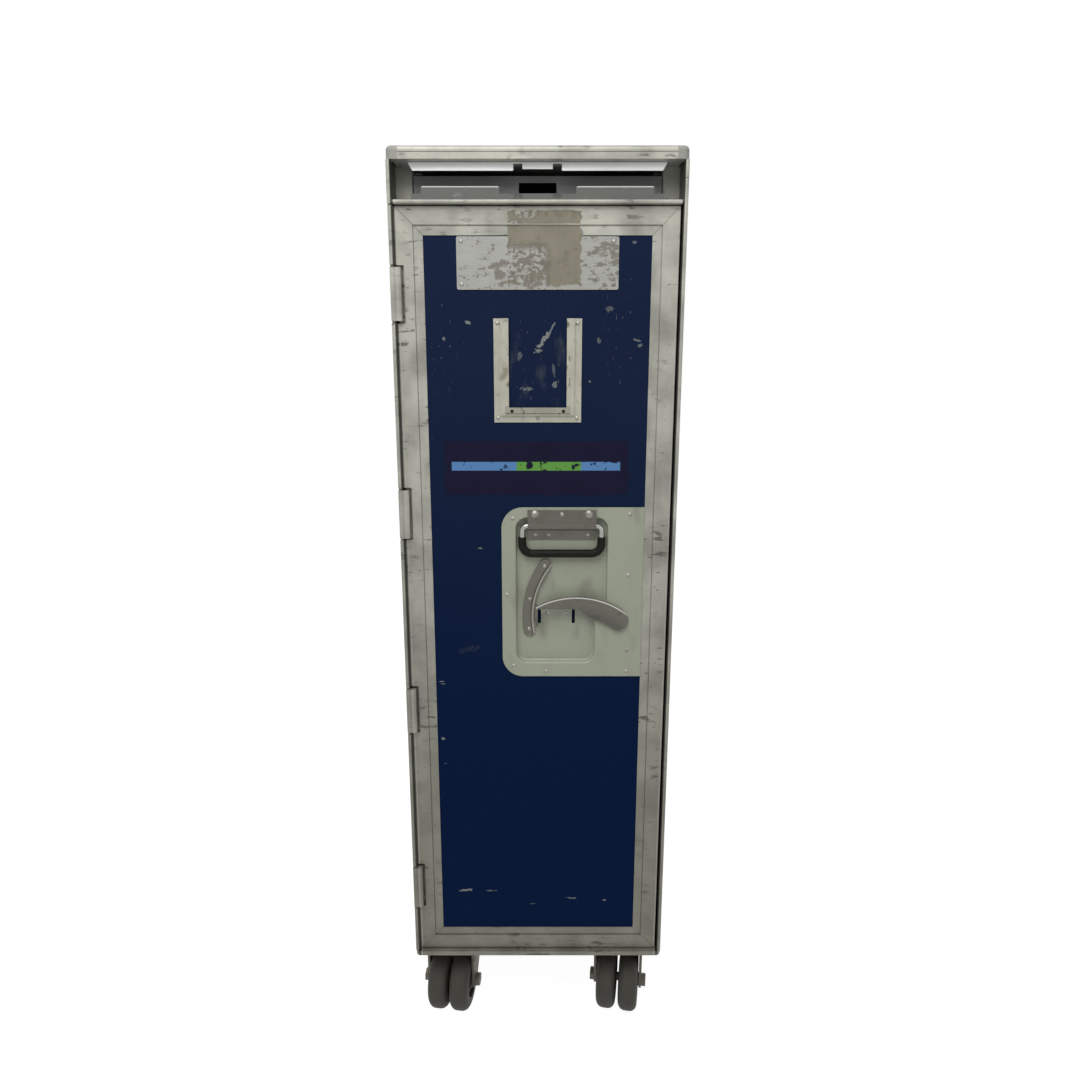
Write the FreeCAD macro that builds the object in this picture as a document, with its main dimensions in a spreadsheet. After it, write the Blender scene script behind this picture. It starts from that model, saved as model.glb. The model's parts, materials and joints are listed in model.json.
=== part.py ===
"""A half-size airline galley cart, in millimetres, +Z up.

The origin lies on the floor below the middle of the cart. The door is at the
front, towards -Y, hinged on the left, with its latch on the right. Driving
sizes are in the sheet "sizes", and the places worked out from them in the
sheet "places".
"""
import FreeCAD, Part
import os

import Sketcher
from FreeCAD import Placement, Rotation, Vector

doc = FreeCAD.newDocument("galley_cart")

SIZES = [
    # the whole cart
    ("cart_width", 302), ("cart_depth", 405), ("cart_height", 1030), ("underside", 105),
    # base tray, walls and rear posts
    ("base_thick", 5.5), ("base_round", 6), ("lip_rise", 24), ("wall_thick", 10.5),
    ("wall_inset", 1.5), ("rear_post", 20), ("rear_post_round", 7), ("floor_thick", 8),
    # front posts: a flange beside the door and a jamb behind it
    ("flange_thick", 4), ("flange_round", 1.5), ("jamb_width", 22), ("jamb_depth", 14),
    ("jamb_rail_height", 16),
    # top and the bay below it
    ("top_rail_height", 13.2), ("top_rail_width", 12), ("top_rail_round", 4.5),
    ("top_groove", 0.8), ("top_panel_thick", 7.2), ("bay_height", 37.3), ("cross_rail_height", 4.2),
    # door
    ("door_setback", 5.7), ("door_thick", 25), ("door_side_gap", 2.5), ("door_top_gap", 1.3),
    ("door_bottom_gap", 1.5), ("outer_band", 17.5), ("inner_band", 10), ("band_groove", 0.8),
    ("inner_band_drop", 1.2), ("panel_drop", 2), ("liner_thick", 1.2), ("seal_gap", 3),
    ("seal_width", 10), ("seal_clearance", 0.3), ("seal_inset", 2.5),
    # hinge
    ("barrel_radius", 2.6), ("hinge_rod_radius", 1.5), ("running_fit", 0.05), ("fixed_fit", 0.02),
    ("barrel_gap", 0.4), ("web_thick", 2), ("hinge_low_inset", 87.5), ("hinge_high_inset", 85.4),
    ("hinge_block_height", 53), ("hinge_block_width", 11.5), ("notch_gap", 2.4), ("notch_depth", 12),
    # latch plate with its pressed recess
    ("plate_width", 156.8), ("plate_height", 196), ("plate_drop", 69.6), ("plate_round", 23.5),
    ("plate_thick", 1.5), ("recess_depth", 8), ("recess_margin", 16), ("recess_pivot_gap", 13),
    ("recess_narrowing", 13), ("recess_low_margin", 17), ("recess_waist_rise", 9.4),
    ("recess_top_margin", 12), ("recess_round", 12), ("recess_step", 8), ("rim_round", 2),
    ("plate_edge_gap", 0.2), ("cavity_gap", 1.5), ("slot_left_reach", 88.3), ("slot_right_reach", 49.7),
    ("slot_drop", 8.6), ("slot_height", 19.5), ("slot_width", 3.6),
    # lever, shaft and tongue
    ("pivot_inset", 26.8), ("pivot_drop", 406.9), ("lever_thick", 2.5), ("lever_stand", 1.5),
    ("lever_reach", 92.2), ("lever_crown_radius", 93.5), ("lever_crown_x", 47),
    ("lever_crown_drop", 67.8), ("lever_end_radius", 11.5), ("lever_end_drop", 1.5), ("lever_tail_width", 2),
    ("lever_tail_drop", 9), ("lever_grip_height", 11.5), ("lever_bend_x", 45), ("lever_throat_x", 32),
    ("lever_throat_z", 1.4), ("lever_bend_radius", 10), ("lever_floor_gap", 1),
    ("shaft_radius", 4), ("bush_radius", 6), ("bush_flange_radius", 9), ("bush_flange_thick", 1),
    ("tongue_reach", 48), ("tongue_half", 5), ("tongue_thick", 3), ("tongue_angle", 15),
    ("tongue_hub", 9),
    ("keeper_thick", 1.5), ("keeper_drop", 36), ("keeper_rise", 14), ("keeper_gap", 0.3), ("nut_height", 4.5),
    ("nut_radius", 7.5),
    # lever guide
    ("guide_radius", 101), ("guide_width", 13.4), ("guide_thick", 2), ("guide_low_angle", 9.4),
    ("guide_high_angle", 36.5), ("guide_lip", 3), ("guide_lip_height", 1.2),
    # drop handle
    ("bail_axis_drop", 9.3), ("bail_half", 43.8), ("bail_drop", 31),
    ("bail_rod_radius", 3), ("bail_bend", 11), ("bail_top_bend", 5.5), ("grip_radius", 4.5),
    ("grip_start", 12.5),
    ("bail_rest_gap", 0.5), ("bracket_half", 37.8), ("bracket_thick", 1.5), ("bracket_margin", 3),
    ("bracket_reach", 15.7), ("knuckle_radius", 4.7), ("bracket_bolt_x", 29.5), ("bracket_bolt_drop", 4.5),
    ("bracket_screw_rise", 5),
    # placard and card holder
    ("placard_half", 83.2), ("placard_height", 52), ("placard_drop", 0.9), ("placard_thick", 0.8),
    ("placard_round", 2), ("placard_screw_inset", 5), ("holder_half", 46.2), ("holder_height", 107),
    ("holder_drop", 28.6),
    ("holder_arm", 15.7), ("holder_flange", 8.5), ("holder_sheet", 1), ("holder_slot", 1.2),
    # fasteners on the door
    ("screw_head", 2.3), ("screw_head_height", 0.9), ("screw_shank", 1.4), ("screw_depth", 5),
    ("bolt_head", 5.2), ("bolt_head_height", 3), ("rivet_head", 2.2), ("rivet_head_height", 0.9),
    ("screw_inset", 12.4), ("screw_edge", 5.4), ("screw_rise", 27), ("screw_column", 15.7),
    ("catch_rivet_inset", 9.4), ("catch_rivet_rise", 12.6),
    # runners for trays and drawers
    ("runner_count", 14), ("runner_first", 146), ("runner_headroom", 92.5), ("runner_reach", 9.5),
    ("runner_height", 10), ("runner_sheet", 1.5), ("runner_start_gap", 8),
    # pull-out shelf and its guides
    ("shelf_side_gap", 11.5), ("shelf_lip_gap", 9), ("shelf_sheet", 1.5), ("shelf_setback", 10.5),
    ("shelf_lip_drop", 8), ("shelf_tongue_half", 15.3), ("shelf_tongue_drop", 6.5),
    ("shelf_notch", 9.2), ("shelf_gap", 0.4), ("shelf_rear_gap", 37.5), ("guide_ledge", 17),
    ("guide_leg", 9),
    # ice drawer
    ("drawer_side_gap", 11), ("drawer_sheet", 1.2), ("drawer_setback", 10.5), ("drawer_wall_setback", 30),
    ("drawer_height", 28), ("drawer_rear_gap", 32.5), ("drawer_gap", 0.3), ("drawer_tab_height", 14),
    ("drawer_low_height", 7), ("drawer_tab_gap", 10), ("drawer_tab_round", 2), ("drawer_tab_inner", 39),
    ("drawer_step_inner", 24), ("drawer_tongue_half", 15.5), ("drawer_slot_half", 19.5),
    ("drawer_slot_low", 11.5), ("drawer_slot_high", 21.5),
    # casters
    ("caster_side_inset", 43), ("caster_inset", 64), ("caster_trail", 22), ("wheel_radius", 37.5),
    ("wheel_width", 24), ("wheel_spacing", 4), ("wheel_round", 9), ("wheel_dish", 4),
    ("wheel_dish_radius", 22), ("wheel_hub_radius", 11), ("axle_radius", 5), ("leg_gap", 1.5),
    ("leg_thick", 3), ("axle_nut_height", 5.5), ("axle_nut_radius", 8), ("fork_clearance", 11),
    ("fork_thick", 3), ("fork_front", 33), ("fork_back", 24), ("boss_half", 10),
    ("race_radius", 22), ("race_gap", 0.3), ("seat_height", 2), ("kingpin_radius", 5), ("kingpin_gap", 1),
    ("washer_gap", 0.5), ("caster_plate_thick", 4),
    ("caster_plate_half", 38), ("caster_plate_round", 7), ("caster_bolt_spacing", 30),
    ("caster_bolt_radius", 3), ("caster_bolt_head", 5), ("caster_bolt_head_height", 3),
    ("turn_front_left", 8), ("turn_front_right", 10), ("turn_rear_left", 5), ("turn_rear_right", 14),
]

PLACES = [
    ("half_width", "sizes.cart_width / 2"),
    ("front", "-sizes.cart_depth / 2"),
    ("back", "sizes.cart_depth / 2"),
    ("base_top", "sizes.underside + sizes.base_thick"),
    ("top_underside", "sizes.cart_height - sizes.top_rail_height"),
    ("bay_floor", "places.top_underside - sizes.bay_height"),
    ("rail_underside", "places.bay_floor - sizes.cross_rail_height"),
    ("door_face", "places.front + sizes.door_setback"),
    ("door_back", "places.door_face + sizes.door_thick"),
    ("jamb_front", "places.door_back + sizes.seal_gap"),
    ("jamb_back", "places.jamb_front + sizes.jamb_depth"),
    ("jamb_inner", "places.half_width - sizes.jamb_width"),
    ("flange_inner", "places.half_width - sizes.flange_thick"),
    ("wall_outer", "places.half_width - sizes.wall_inset"),
    ("wall_inner", "places.wall_outer - sizes.wall_thick"),
    ("rear_outer", "places.back - sizes.wall_inset"),
    ("rear_inner", "places.rear_outer - sizes.wall_thick"),
    ("post_start", "places.back - sizes.rear_post"),
    ("post_inner", "places.half_width - sizes.rear_post"),
    ("rail_inner", "places.half_width - sizes.top_rail_width"),
    ("rail_inner_y", "places.back - sizes.top_rail_width"),
    ("door_bottom", "places.base_top + sizes.door_bottom_gap"),
    ("door_top", "places.rail_underside - sizes.door_top_gap"),
    ("door_half", "places.flange_inner - sizes.door_side_gap"),
    ("frame_width", "sizes.outer_band + sizes.inner_band"),
    ("panel_half", "places.door_half - places.frame_width"),
    ("panel_low", "places.door_bottom + places.frame_width"),
    ("panel_high", "places.door_top - places.frame_width"),
    ("panel_face", "places.door_face + sizes.panel_drop"),
    ("liner_face", "places.door_back - sizes.liner_thick"),
    ("hinge_x", "-places.half_width + sizes.barrel_radius"),
    ("hinge_y", "places.front + sizes.barrel_radius"),
    ("relief_back", "places.front + 2 * sizes.barrel_radius + sizes.barrel_gap"),
    ("notch_half", "sizes.hinge_block_height / 2 + sizes.notch_gap"),
    ("notch_right", "-places.half_width + sizes.hinge_block_width + sizes.notch_gap"),
    ("plate_face", "places.panel_face - sizes.plate_thick"),
    ("recess_floor", "places.plate_face + sizes.recess_depth"),
    ("recess_back", "places.recess_floor + sizes.plate_thick"),
    ("lever_back", "places.plate_face - sizes.lever_stand"),
    ("lever_front", "places.lever_back - sizes.lever_thick"),
    ("keeper_back", "places.jamb_back + sizes.keeper_thick"),
    ("tongue_front", "places.keeper_back + sizes.keeper_gap"),
    ("tongue_back", "places.tongue_front + sizes.tongue_thick"),
    ("shaft_end", "places.tongue_back + sizes.nut_height"),
    ("web_back", "places.front + 2 * sizes.barrel_radius"),
    ("web_front", "places.web_back - sizes.web_thick"),
    ("hinge_first", "places.door_bottom + sizes.hinge_low_inset"),
    ("hinge_pitch", "(places.door_top - sizes.hinge_high_inset - places.hinge_first) / 3"),
    ("placard_high", "places.panel_high - sizes.placard_drop"),
    ("placard_low", "places.placard_high - sizes.placard_height"),
    ("holder_high", "places.placard_low - sizes.holder_drop"),
    ("holder_low", "places.holder_high - sizes.holder_height"),
    ("plate_right", "places.panel_half - sizes.plate_edge_gap"),
    ("plate_left", "places.plate_right - sizes.plate_width"),
    ("pivot_x", "places.plate_right - sizes.pivot_inset"),
    ("pivot_z", "places.panel_high - sizes.pivot_drop"),
    ("plate_low", "places.pivot_z - sizes.plate_drop"),
    ("plate_high", "places.plate_low + sizes.plate_height"),
    ("recess_left", "places.plate_left + sizes.recess_margin"),
    ("recess_right", "places.pivot_x - sizes.recess_pivot_gap"),
    ("recess_narrow", "places.recess_right - sizes.recess_narrowing"),
    ("recess_low", "places.plate_low + sizes.recess_low_margin"),
    ("recess_waist", "places.pivot_z + sizes.recess_waist_rise"),
    ("recess_high", "places.plate_high - sizes.recess_top_margin"),
    ("slot_left", "places.pivot_x - sizes.slot_left_reach"),
    ("slot_right", "places.pivot_x - sizes.slot_right_reach"),
    ("slot_low", "places.pivot_z - sizes.slot_drop"),
    ("slot_high", "places.slot_low + sizes.slot_height"),
    ("bail_middle", "(places.recess_left + places.recess_right) / 2"),
    ("bail_axis_z", "places.recess_high - sizes.bail_axis_drop"),
    ("bracket_high", "places.plate_high - sizes.bracket_margin"),
    ("bracket_low", "places.bail_axis_z - sizes.bracket_reach"),
    ("runner_pitch", "(places.bay_floor - sizes.runner_headroom - sizes.runner_first)"
                     " / (sizes.runner_count - 1)"),
    ("bail_y", "places.recess_floor - sizes.grip_radius - sizes.bail_rest_gap"),
    ("shelf_top", "places.top_underside - sizes.shelf_gap"),
    ("shelf_under", "places.shelf_top - sizes.shelf_sheet"),
    ("ledge_top", "places.shelf_under - sizes.shelf_gap"),
    ("shelf_front", "places.front + sizes.shelf_setback"),
    ("drawer_front", "places.front + sizes.drawer_setback"),
    ("drawer_wall", "places.front + sizes.drawer_wall_setback"),
    ("drawer_under", "places.bay_floor + sizes.drawer_gap"),
    ("drawer_back", "places.rear_inner - sizes.drawer_rear_gap"),
    ("drawer_half", "places.wall_inner - sizes.drawer_side_gap"),
    ("drawer_tab_outer", "places.drawer_half - sizes.drawer_tab_gap"),
    ("shelf_half", "places.wall_inner - sizes.shelf_side_gap"),
    ("shelf_lip_half", "places.wall_inner - sizes.shelf_lip_gap"),
    ("caster_x", "places.half_width - sizes.caster_side_inset"),
    ("caster_y", "places.back - sizes.caster_inset"),
    ("wheel_outer", "sizes.wheel_spacing / 2 + sizes.wheel_width"),
    ("leg_inner", "places.wheel_outer + sizes.leg_gap"),
    ("leg_outer", "places.leg_inner + sizes.leg_thick"),
    ("fork_under", "2 * sizes.wheel_radius + sizes.fork_clearance"),
    ("fork_top", "places.fork_under + sizes.fork_thick"),
    ("caster_plate_under", "sizes.underside - sizes.caster_plate_thick"),
    ("race_low", "places.fork_top + sizes.seat_height"),
    ("axle_end", "places.leg_outer + sizes.axle_nut_height"),
]


def fill_sheet(name, rows):
    """A sheet with one row a value: its name in column A, its cell with the alias in column B."""
    sheet = doc.addObject("Spreadsheet::Sheet", name)
    for row, (alias, value) in enumerate(rows, start=1):
        sheet.set(f"A{row}", alias)
        sheet.set(f"B{row}", str(value) if name == "sizes" else "=" + value)
        sheet.setAlias(f"B{row}", alias)
    return sheet


sizes = fill_sheet("sizes", SIZES)
places = fill_sheet("places", [(alias, text.replace("places.", "")) for alias, text in PLACES])
doc.recompute()


def number(expression):
    """The value of an expression in the sheets' names."""
    return float(sizes.evalExpression(str(expression)))


# ---------------------------------------------------------------- building blocks

NODES = []


def node(label, piece):
    """Names a finished sub-part and lists it for export."""
    piece.Label = label
    NODES.append(piece)
    return piece


def block(x, y, z, name="block"):
    """A box between pairs of expressions along X, Y and Z."""
    box = doc.addObject("Part::Box", name)
    for side, axis, (low, high) in zip(("Length", "Width", "Height"), "xyz", (x, y, z)):
        box.setExpression(side, f"({high}) - ({low})")
        box.setExpression(f"Placement.Base.{axis}", f"{low}")
    return box


TURNS = {
    "x": Rotation(Vector(0, 1, 0), 90),
    "y": Rotation(Vector(1, 0, 0), -90),
    "z": Rotation(),
}


def rod(radius, axis, low, high, centre, name="rod"):
    """A cylinder along an axis, from low to high, with its centre given by the other two places."""
    cylinder = doc.addObject("Part::Cylinder", name)
    cylinder.Placement = Placement(Vector(), TURNS[axis])
    cylinder.setExpression("Radius", f"{radius}")
    cylinder.setExpression("Height", f"({high}) - ({low})")
    cylinder.setExpression(f"Placement.Base.{axis}", f"{low}")
    for other, value in zip([a for a in "xyz" if a != axis], centre):
        cylinder.setExpression(f"Placement.Base.{other}", f"{value}")
    return cylinder


def fuse(*pieces):
    """One solid from pieces that meet."""
    whole = doc.addObject("Part::MultiFuse", "fuse")
    whole.Shapes = list(pieces)
    whole.Refine = True
    return whole


def cut(base, tool):
    """The base without the tool."""
    rest = doc.addObject("Part::Cut", "cut")
    rest.Base = base
    rest.Tool = tool
    rest.Refine = True
    return rest


def common(first, second):
    """What two pieces share."""
    shared = doc.addObject("Part::Common", "common")
    shared.Base = first
    shared.Tool = second
    return shared


def shapes_as(name, shapes):
    """A sub-part of several equal solids."""
    group = doc.addObject("Part::Feature", name)
    group.Shape = Part.makeCompound(shapes)
    return group


def together(name, *pieces):
    """Several pieces as one sub-part of separate solids."""
    group = doc.addObject("Part::Compound", name)
    group.Links = list(pieces)
    return group


def new_body(name):
    return doc.addObject("PartDesign::Body", name)


def new_sketch(body, plane, level):
    """A sketch on one of the body's own planes, moved along the plane's axis to a level."""
    sketch = body.newObject("Sketcher::SketchObject", "outline")
    support = [f for f in body.Origin.OriginFeatures if f.Role == plane + "_Plane"][0]
    sketch.AttachmentSupport = [(support, "")]
    sketch.MapMode = "FlatFace"
    sign = "-1" if plane == "XZ" else "1"
    sketch.setExpression("AttachmentOffset.Base.z", f"{sign} * ({level})")
    return sketch


def draw_loop(sketch, points):
    """A closed loop of straight lines through points given as pairs of expressions."""
    first = sketch.GeometryCount
    count = len(points)
    spots = [Vector(number(u), number(v), 0) for u, v in points]
    for index in range(count):
        sketch.addGeometry(Part.LineSegment(spots[index], spots[(index + 1) % count]), False)
    for index in range(count):
        follower = first + (index + 1) % count
        sketch.addConstraint(Sketcher.Constraint("Coincident", first + index, 2, follower, 1))
    for index, (u, v) in enumerate(points):
        for kind, text, value in (("DistanceX", u, spots[index].x), ("DistanceY", v, spots[index].y)):
            mark = sketch.addConstraint(Sketcher.Constraint(kind, -1, 1, first + index, 1, value))
            sketch.setExpression(f"Constraints[{mark}]", f"{text}")


def draw_circles(sketch, centres, radius):
    """Circles of one radius round centres given as pairs of expressions."""
    for u, v in centres:
        spot = Vector(number(u), number(v), 0)
        circle = Part.Circle(spot, Vector(0, 0, 1), number(radius))
        index = sketch.addGeometry(circle, False)
        for kind, text, value in (("DistanceX", u, spot.x), ("DistanceY", v, spot.y)):
            mark = sketch.addConstraint(Sketcher.Constraint(kind, -1, 1, index, 3, value))
            sketch.setExpression(f"Constraints[{mark}]", f"{text}")
        mark = sketch.addConstraint(Sketcher.Constraint("Radius", index, number(radius)))
        sketch.setExpression(f"Constraints[{mark}]", f"{radius}")


def rectangle(u, v):
    """The four corners between two pairs of expressions."""
    return [(u[0], v[0]), (u[1], v[0]), (u[1], v[1]), (u[0], v[1])]


def pad(body, plane, low, high, *loops):
    """Adds material from low to high along the plane's axis, inside the first loop and outside the rest."""
    sketch = new_sketch(body, plane, low)
    for points in loops:
        draw_loop(sketch, points)
    feature = body.newObject("PartDesign::Pad", "pad")
    feature.Profile = sketch
    feature.setExpression("Length", f"({high}) - ({low})")
    feature.Reversed = plane == "XZ"
    body.Tip = feature
    return feature


def pocket(body, plane, low, high, points):
    """Takes material away inside a loop, from low to high along the plane's axis."""
    sketch = new_sketch(body, plane, low)
    draw_loop(sketch, points)
    return take_away(body, plane, sketch, low, high)


def drill(body, plane, low, high, centres, radius):
    """Takes away round holes from low to high along the plane's axis."""
    sketch = new_sketch(body, plane, low)
    draw_circles(sketch, centres, radius)
    return take_away(body, plane, sketch, low, high)


def take_away(body, plane, sketch, low, high):
    feature = body.newObject("PartDesign::Pocket", "pocket")
    feature.Profile = sketch
    feature.setExpression("Length", f"({high}) - ({low})")
    feature.Reversed = plane != "XZ"
    body.Tip = feature
    return feature


def round_edges(body, radius, axis, spots):
    """Rounds the straight edges along an axis that lie at spots, each a pair of the other two places."""
    doc.recompute()
    base = body.Tip
    wanted = [(number(u), number(v)) for u, v in spots]
    across = [a for a in "xyz" if a != axis]
    names = []
    for index, edge in enumerate(base.Shape.Edges, start=1):
        first = edge.Vertexes[0].Point
        last = edge.Vertexes[-1].Point
        run = (last - first)
        if run.Length < 0.01 or abs(getattr(run, axis)) < 0.999 * run.Length:
            continue
        here = (getattr(first, across[0]), getattr(first, across[1]))
        if any(abs(here[0] - u) < 0.02 and abs(here[1] - v) < 0.02 for u, v in wanted):
            names.append(f"Edge{index}")
    fillet = body.newObject("PartDesign::Fillet", "fillet")
    fillet.Base = (base, names)
    fillet.setExpression("Radius", f"{radius}")
    body.Tip = fillet
    return fillet


# ---------------------------------------------------------------- base, walls and posts

def base_tray():
    """A flat tray with rounded corners, lips outside the walls and holes for the caster bolts."""
    body = new_body("base_tray")
    pad(body, "XY", "sizes.underside", "places.base_top",
        rectangle(("-places.half_width", "places.half_width"), ("places.front", "places.back")))
    corners = [(f"{x}places.half_width", f"places.{y}") for x in ("-", "") for y in ("front", "back")]
    round_edges(body, "sizes.base_round", "z", corners)
    lip = ("places.base_top", "places.base_top + sizes.lip_rise")
    side = ("places.jamb_back", "places.post_start")
    pad(body, "XY", *lip, rectangle(("-places.half_width", "-places.wall_outer"), side))
    pad(body, "XY", *lip, rectangle(("places.wall_outer", "places.half_width"), side))
    pad(body, "XY", *lip, rectangle(("-places.post_inner", "places.post_inner"),
                                    ("places.rear_outer", "places.back")))
    drill(body, "XY", "sizes.underside", "places.base_top", caster_bolt_spots(),
          "sizes.caster_bolt_radius + sizes.fixed_fit")
    return body


def caster_bolt_spots():
    """Four bolts round each of the four swivel axes."""
    return [(f"{x} * places.caster_x + {u} * sizes.caster_bolt_spacing",
             f"{y} * places.caster_y + {v} * sizes.caster_bolt_spacing")
            for x in (-1, 1) for y in (-1, 1) for u in (-1, 1) for v in (-1, 1)]


def inner_outline(front_points):
    """The plan of the room between the walls, with its rear corners cut off by the posts."""
    return front_points + [
        ("places.wall_inner", "places.post_start"), ("places.post_inner", "places.rear_inner"),
        ("-places.post_inner", "places.rear_inner"), ("-places.wall_inner", "places.post_start"),
    ]


def floor_panel():
    body = new_body("floor_panel")
    front = [("-places.wall_inner", "places.jamb_back"), ("places.wall_inner", "places.jamb_back")]
    pad(body, "XY", "places.base_top", "places.base_top + sizes.floor_thick", inner_outline(front))
    return body


def bay_floor_panel():
    """The floor of the bay above the door: it runs forward between the jambs to the cross rail."""
    body = new_body("bay_floor_panel")
    front = [
        ("-places.wall_inner", "places.jamb_back"), ("-places.jamb_inner", "places.jamb_back"),
        ("-places.jamb_inner", "places.jamb_front"), ("places.jamb_inner", "places.jamb_front"),
        ("places.jamb_inner", "places.jamb_back"), ("places.wall_inner", "places.jamb_back"),
    ]
    pad(body, "XY", "places.rail_underside", "places.bay_floor", inner_outline(front))
    return body


def front_post(side):
    """An extrusion with a flange beside the door and a jamb behind it. Side is -1 or 1."""
    body = new_body("post")
    pad(body, "XY", "places.base_top", "places.top_underside", [
        (f"{side} * places.flange_inner", "places.front"),
        (f"{side} * places.half_width", "places.front"),
        (f"{side} * places.half_width", "places.jamb_back"),
        (f"{side} * places.jamb_inner", "places.jamb_back"),
        (f"{side} * places.jamb_inner", "places.jamb_front"),
        (f"{side} * places.flange_inner", "places.jamb_front"),
    ])
    round_edges(body, "sizes.flange_round", "z", [
        (f"{side} * places.half_width", "places.front"),
        (f"{side} * places.flange_inner", "places.front"),
        (f"{side} * places.jamb_inner", "places.jamb_front"),
    ])
    return body


def hinge_side_post():
    """The left post: beside the door its flange stands back behind the hinge barrels."""
    body = front_post(-1)
    pocket(body, "XZ", "places.front", "places.relief_back", rectangle(
        ("-places.half_width", "-places.flange_inner"), ("places.base_top", "places.rail_underside")))
    return body


def rear_post(side):
    """A corner post with a rounded outer edge and a chamfer towards the room."""
    body = new_body("rear_post")
    pad(body, "XY", "places.base_top", "places.top_underside", [
        (f"{side} * places.half_width", "places.post_start"),
        (f"{side} * places.half_width", "places.back"),
        (f"{side} * places.post_inner", "places.back"),
        (f"{side} * places.post_inner", "places.rear_inner"),
        (f"{side} * places.wall_inner", "places.post_start"),
    ])
    round_edges(body, "sizes.rear_post_round", "z", [(f"{side} * places.half_width", "places.back")])
    return body


def cross_rail():
    """The rail between the door and the bay, rounded along its front."""
    body = new_body("cross_rail")
    pad(body, "XY", "places.rail_underside", "places.bay_floor", rectangle(
        ("-places.flange_inner", "places.flange_inner"), ("places.front", "places.jamb_front")))
    round_edges(body, "sizes.flange_round", "x", [
        ("places.front", "places.bay_floor"), ("places.front", "places.rail_underside")])
    return body


def jamb_rails():
    """The header and the sill that close the jamb, for the door's seal to meet."""
    heights = [("places.rail_underside - sizes.jamb_rail_height", "places.rail_underside"),
               ("places.base_top", "places.base_top + sizes.jamb_rail_height")]
    shapes = []
    for low, high in heights:
        width = 2 * number("places.jamb_inner")
        corner = Vector(-width / 2, number("places.jamb_front"), number(low))
        shapes.append(Part.makeBox(width, number("sizes.jamb_depth"), number(high) - number(low), corner))
    return shapes_as("jamb_rails", shapes)


node("base_tray", base_tray())
node("floor_panel", floor_panel())
node("bay_floor_panel", bay_floor_panel())
wall_y = ("places.jamb_back", "places.post_start")
wall_z = ("places.base_top", "places.top_underside")
node("side_wall_left", block(("-places.wall_outer", "-places.wall_inner"), wall_y, wall_z))
node("side_wall_right", block(("places.wall_inner", "places.wall_outer"), wall_y, wall_z))
node("rear_wall", block(("-places.post_inner", "places.post_inner"),
                        ("places.rear_inner", "places.rear_outer"), wall_z))
node("post_hinge_side", hinge_side_post())
node("post_latch_side", front_post(1))
node("rear_posts", together("rear_posts", rear_post(-1), rear_post(1)))
node("cross_rail", cross_rail())
node("jamb_rails", jamb_rails())


# ---------------------------------------------------------------- top

def top_rail(plane, side, inner, outer):
    """One edge rail of the top, with a rounded crest and a groove along its outer face.

    It runs along X when drawn in the YZ plane and along Y when drawn in the XZ plane.
    """
    body = new_body("top_rail")
    crest = "sizes.cart_height"
    groove_low = "places.top_underside + sizes.top_rail_height / 2 - sizes.top_groove / 2"
    groove_high = "places.top_underside + sizes.top_rail_height / 2 + sizes.top_groove / 2"
    groove_floor = f"{side} * ({outer} - sizes.top_groove)"
    inner = f"{side} * {inner}"
    outer = f"{side} * {outer}"
    axis, end = ("x", "places.rail_inner") if plane == "YZ" else ("y", "places.rail_inner_y")
    pad(body, plane, f"-{end}", end, [
        (inner, "places.top_underside"), (outer, "places.top_underside"), (outer, groove_low),
        (groove_floor, groove_low), (groove_floor, groove_high), (outer, groove_high),
        (outer, crest), (inner, crest),
    ])
    round_edges(body, "sizes.top_rail_round", axis, [(outer, crest)])
    round_edges(body, "sizes.top_rail_round / 3", axis, [(inner, crest)])
    return body


def corner_caps():
    """Cast corner pieces between the top rails, rounded along the corner and the crest."""
    width = number("sizes.top_rail_width")
    height = number("sizes.top_rail_height")
    cap = Part.makeBox(width, width, height)
    outer_edge = [e for e in cap.Edges if abs(e.CenterOfMass.x - width) < 0.01
                  and abs(e.CenterOfMass.y - width) < 0.01]
    cap = cap.makeFillet(number("sizes.base_round"), outer_edge)
    crest = [e for e in cap.Edges if abs(e.CenterOfMass.z - height) < 0.01
             and e.CenterOfMass.x + e.CenterOfMass.y > width * 1.2]
    cap = cap.makeFillet(number("sizes.top_rail_round"), crest)
    shapes = []
    for turn, x, y in ((0, 1, 1), (90, -1, 1), (180, -1, -1), (270, 1, -1)):
        piece = cap.copy()
        spot = Vector(x * number("places.rail_inner"), y * number("places.rail_inner_y"),
                      number("places.top_underside"))
        piece.Placement = Placement(spot, Rotation(Vector(0, 0, 1), turn))
        shapes.append(piece)
    return shapes_as("corner_caps", shapes)


node("top_panel", block(("-places.rail_inner", "places.rail_inner"),
                        ("-places.rail_inner_y", "places.rail_inner_y"),
                        ("places.top_underside", "places.top_underside + sizes.top_panel_thick")))
node("top_rails", together("top_rails", *[
    top_rail(plane, side, inner, outer) for side in (-1, 1)
    for plane, inner, outer in (("YZ", "places.rail_inner_y", "places.back"),
                                ("XZ", "places.rail_inner", "places.half_width"))]))
node("top_corner_caps", corner_caps())


# ---------------------------------------------------------------- runners, shelf and ice drawer

def runner(side, height):
    """One angle along a side wall, its leg on the wall and its ledge at the bottom."""
    wall = side * number("places.wall_inner")
    reach = side * (number("places.wall_inner") - number("sizes.runner_reach"))
    sheet = number("sizes.runner_sheet")
    start = number("places.jamb_back") + number("sizes.runner_start_gap")
    profile = [
        (wall, height), (reach, height), (reach, height + sheet),
        (wall - side * sheet, height + sheet), (wall - side * sheet, height + number("sizes.runner_height")),
        (wall, height + number("sizes.runner_height")),
    ]
    loop = Part.makePolygon([Vector(x, start, z) for x, z in profile + profile[:1]])
    return Part.Face(loop).extrude(Vector(0, number("places.post_start") - start, 0))


def runners():
    heights = [number("sizes.runner_first") + step * number("places.runner_pitch")
               for step in range(int(number("sizes.runner_count")))]
    return [runner(side, height) for side in (-1, 1) for height in heights]


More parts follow.
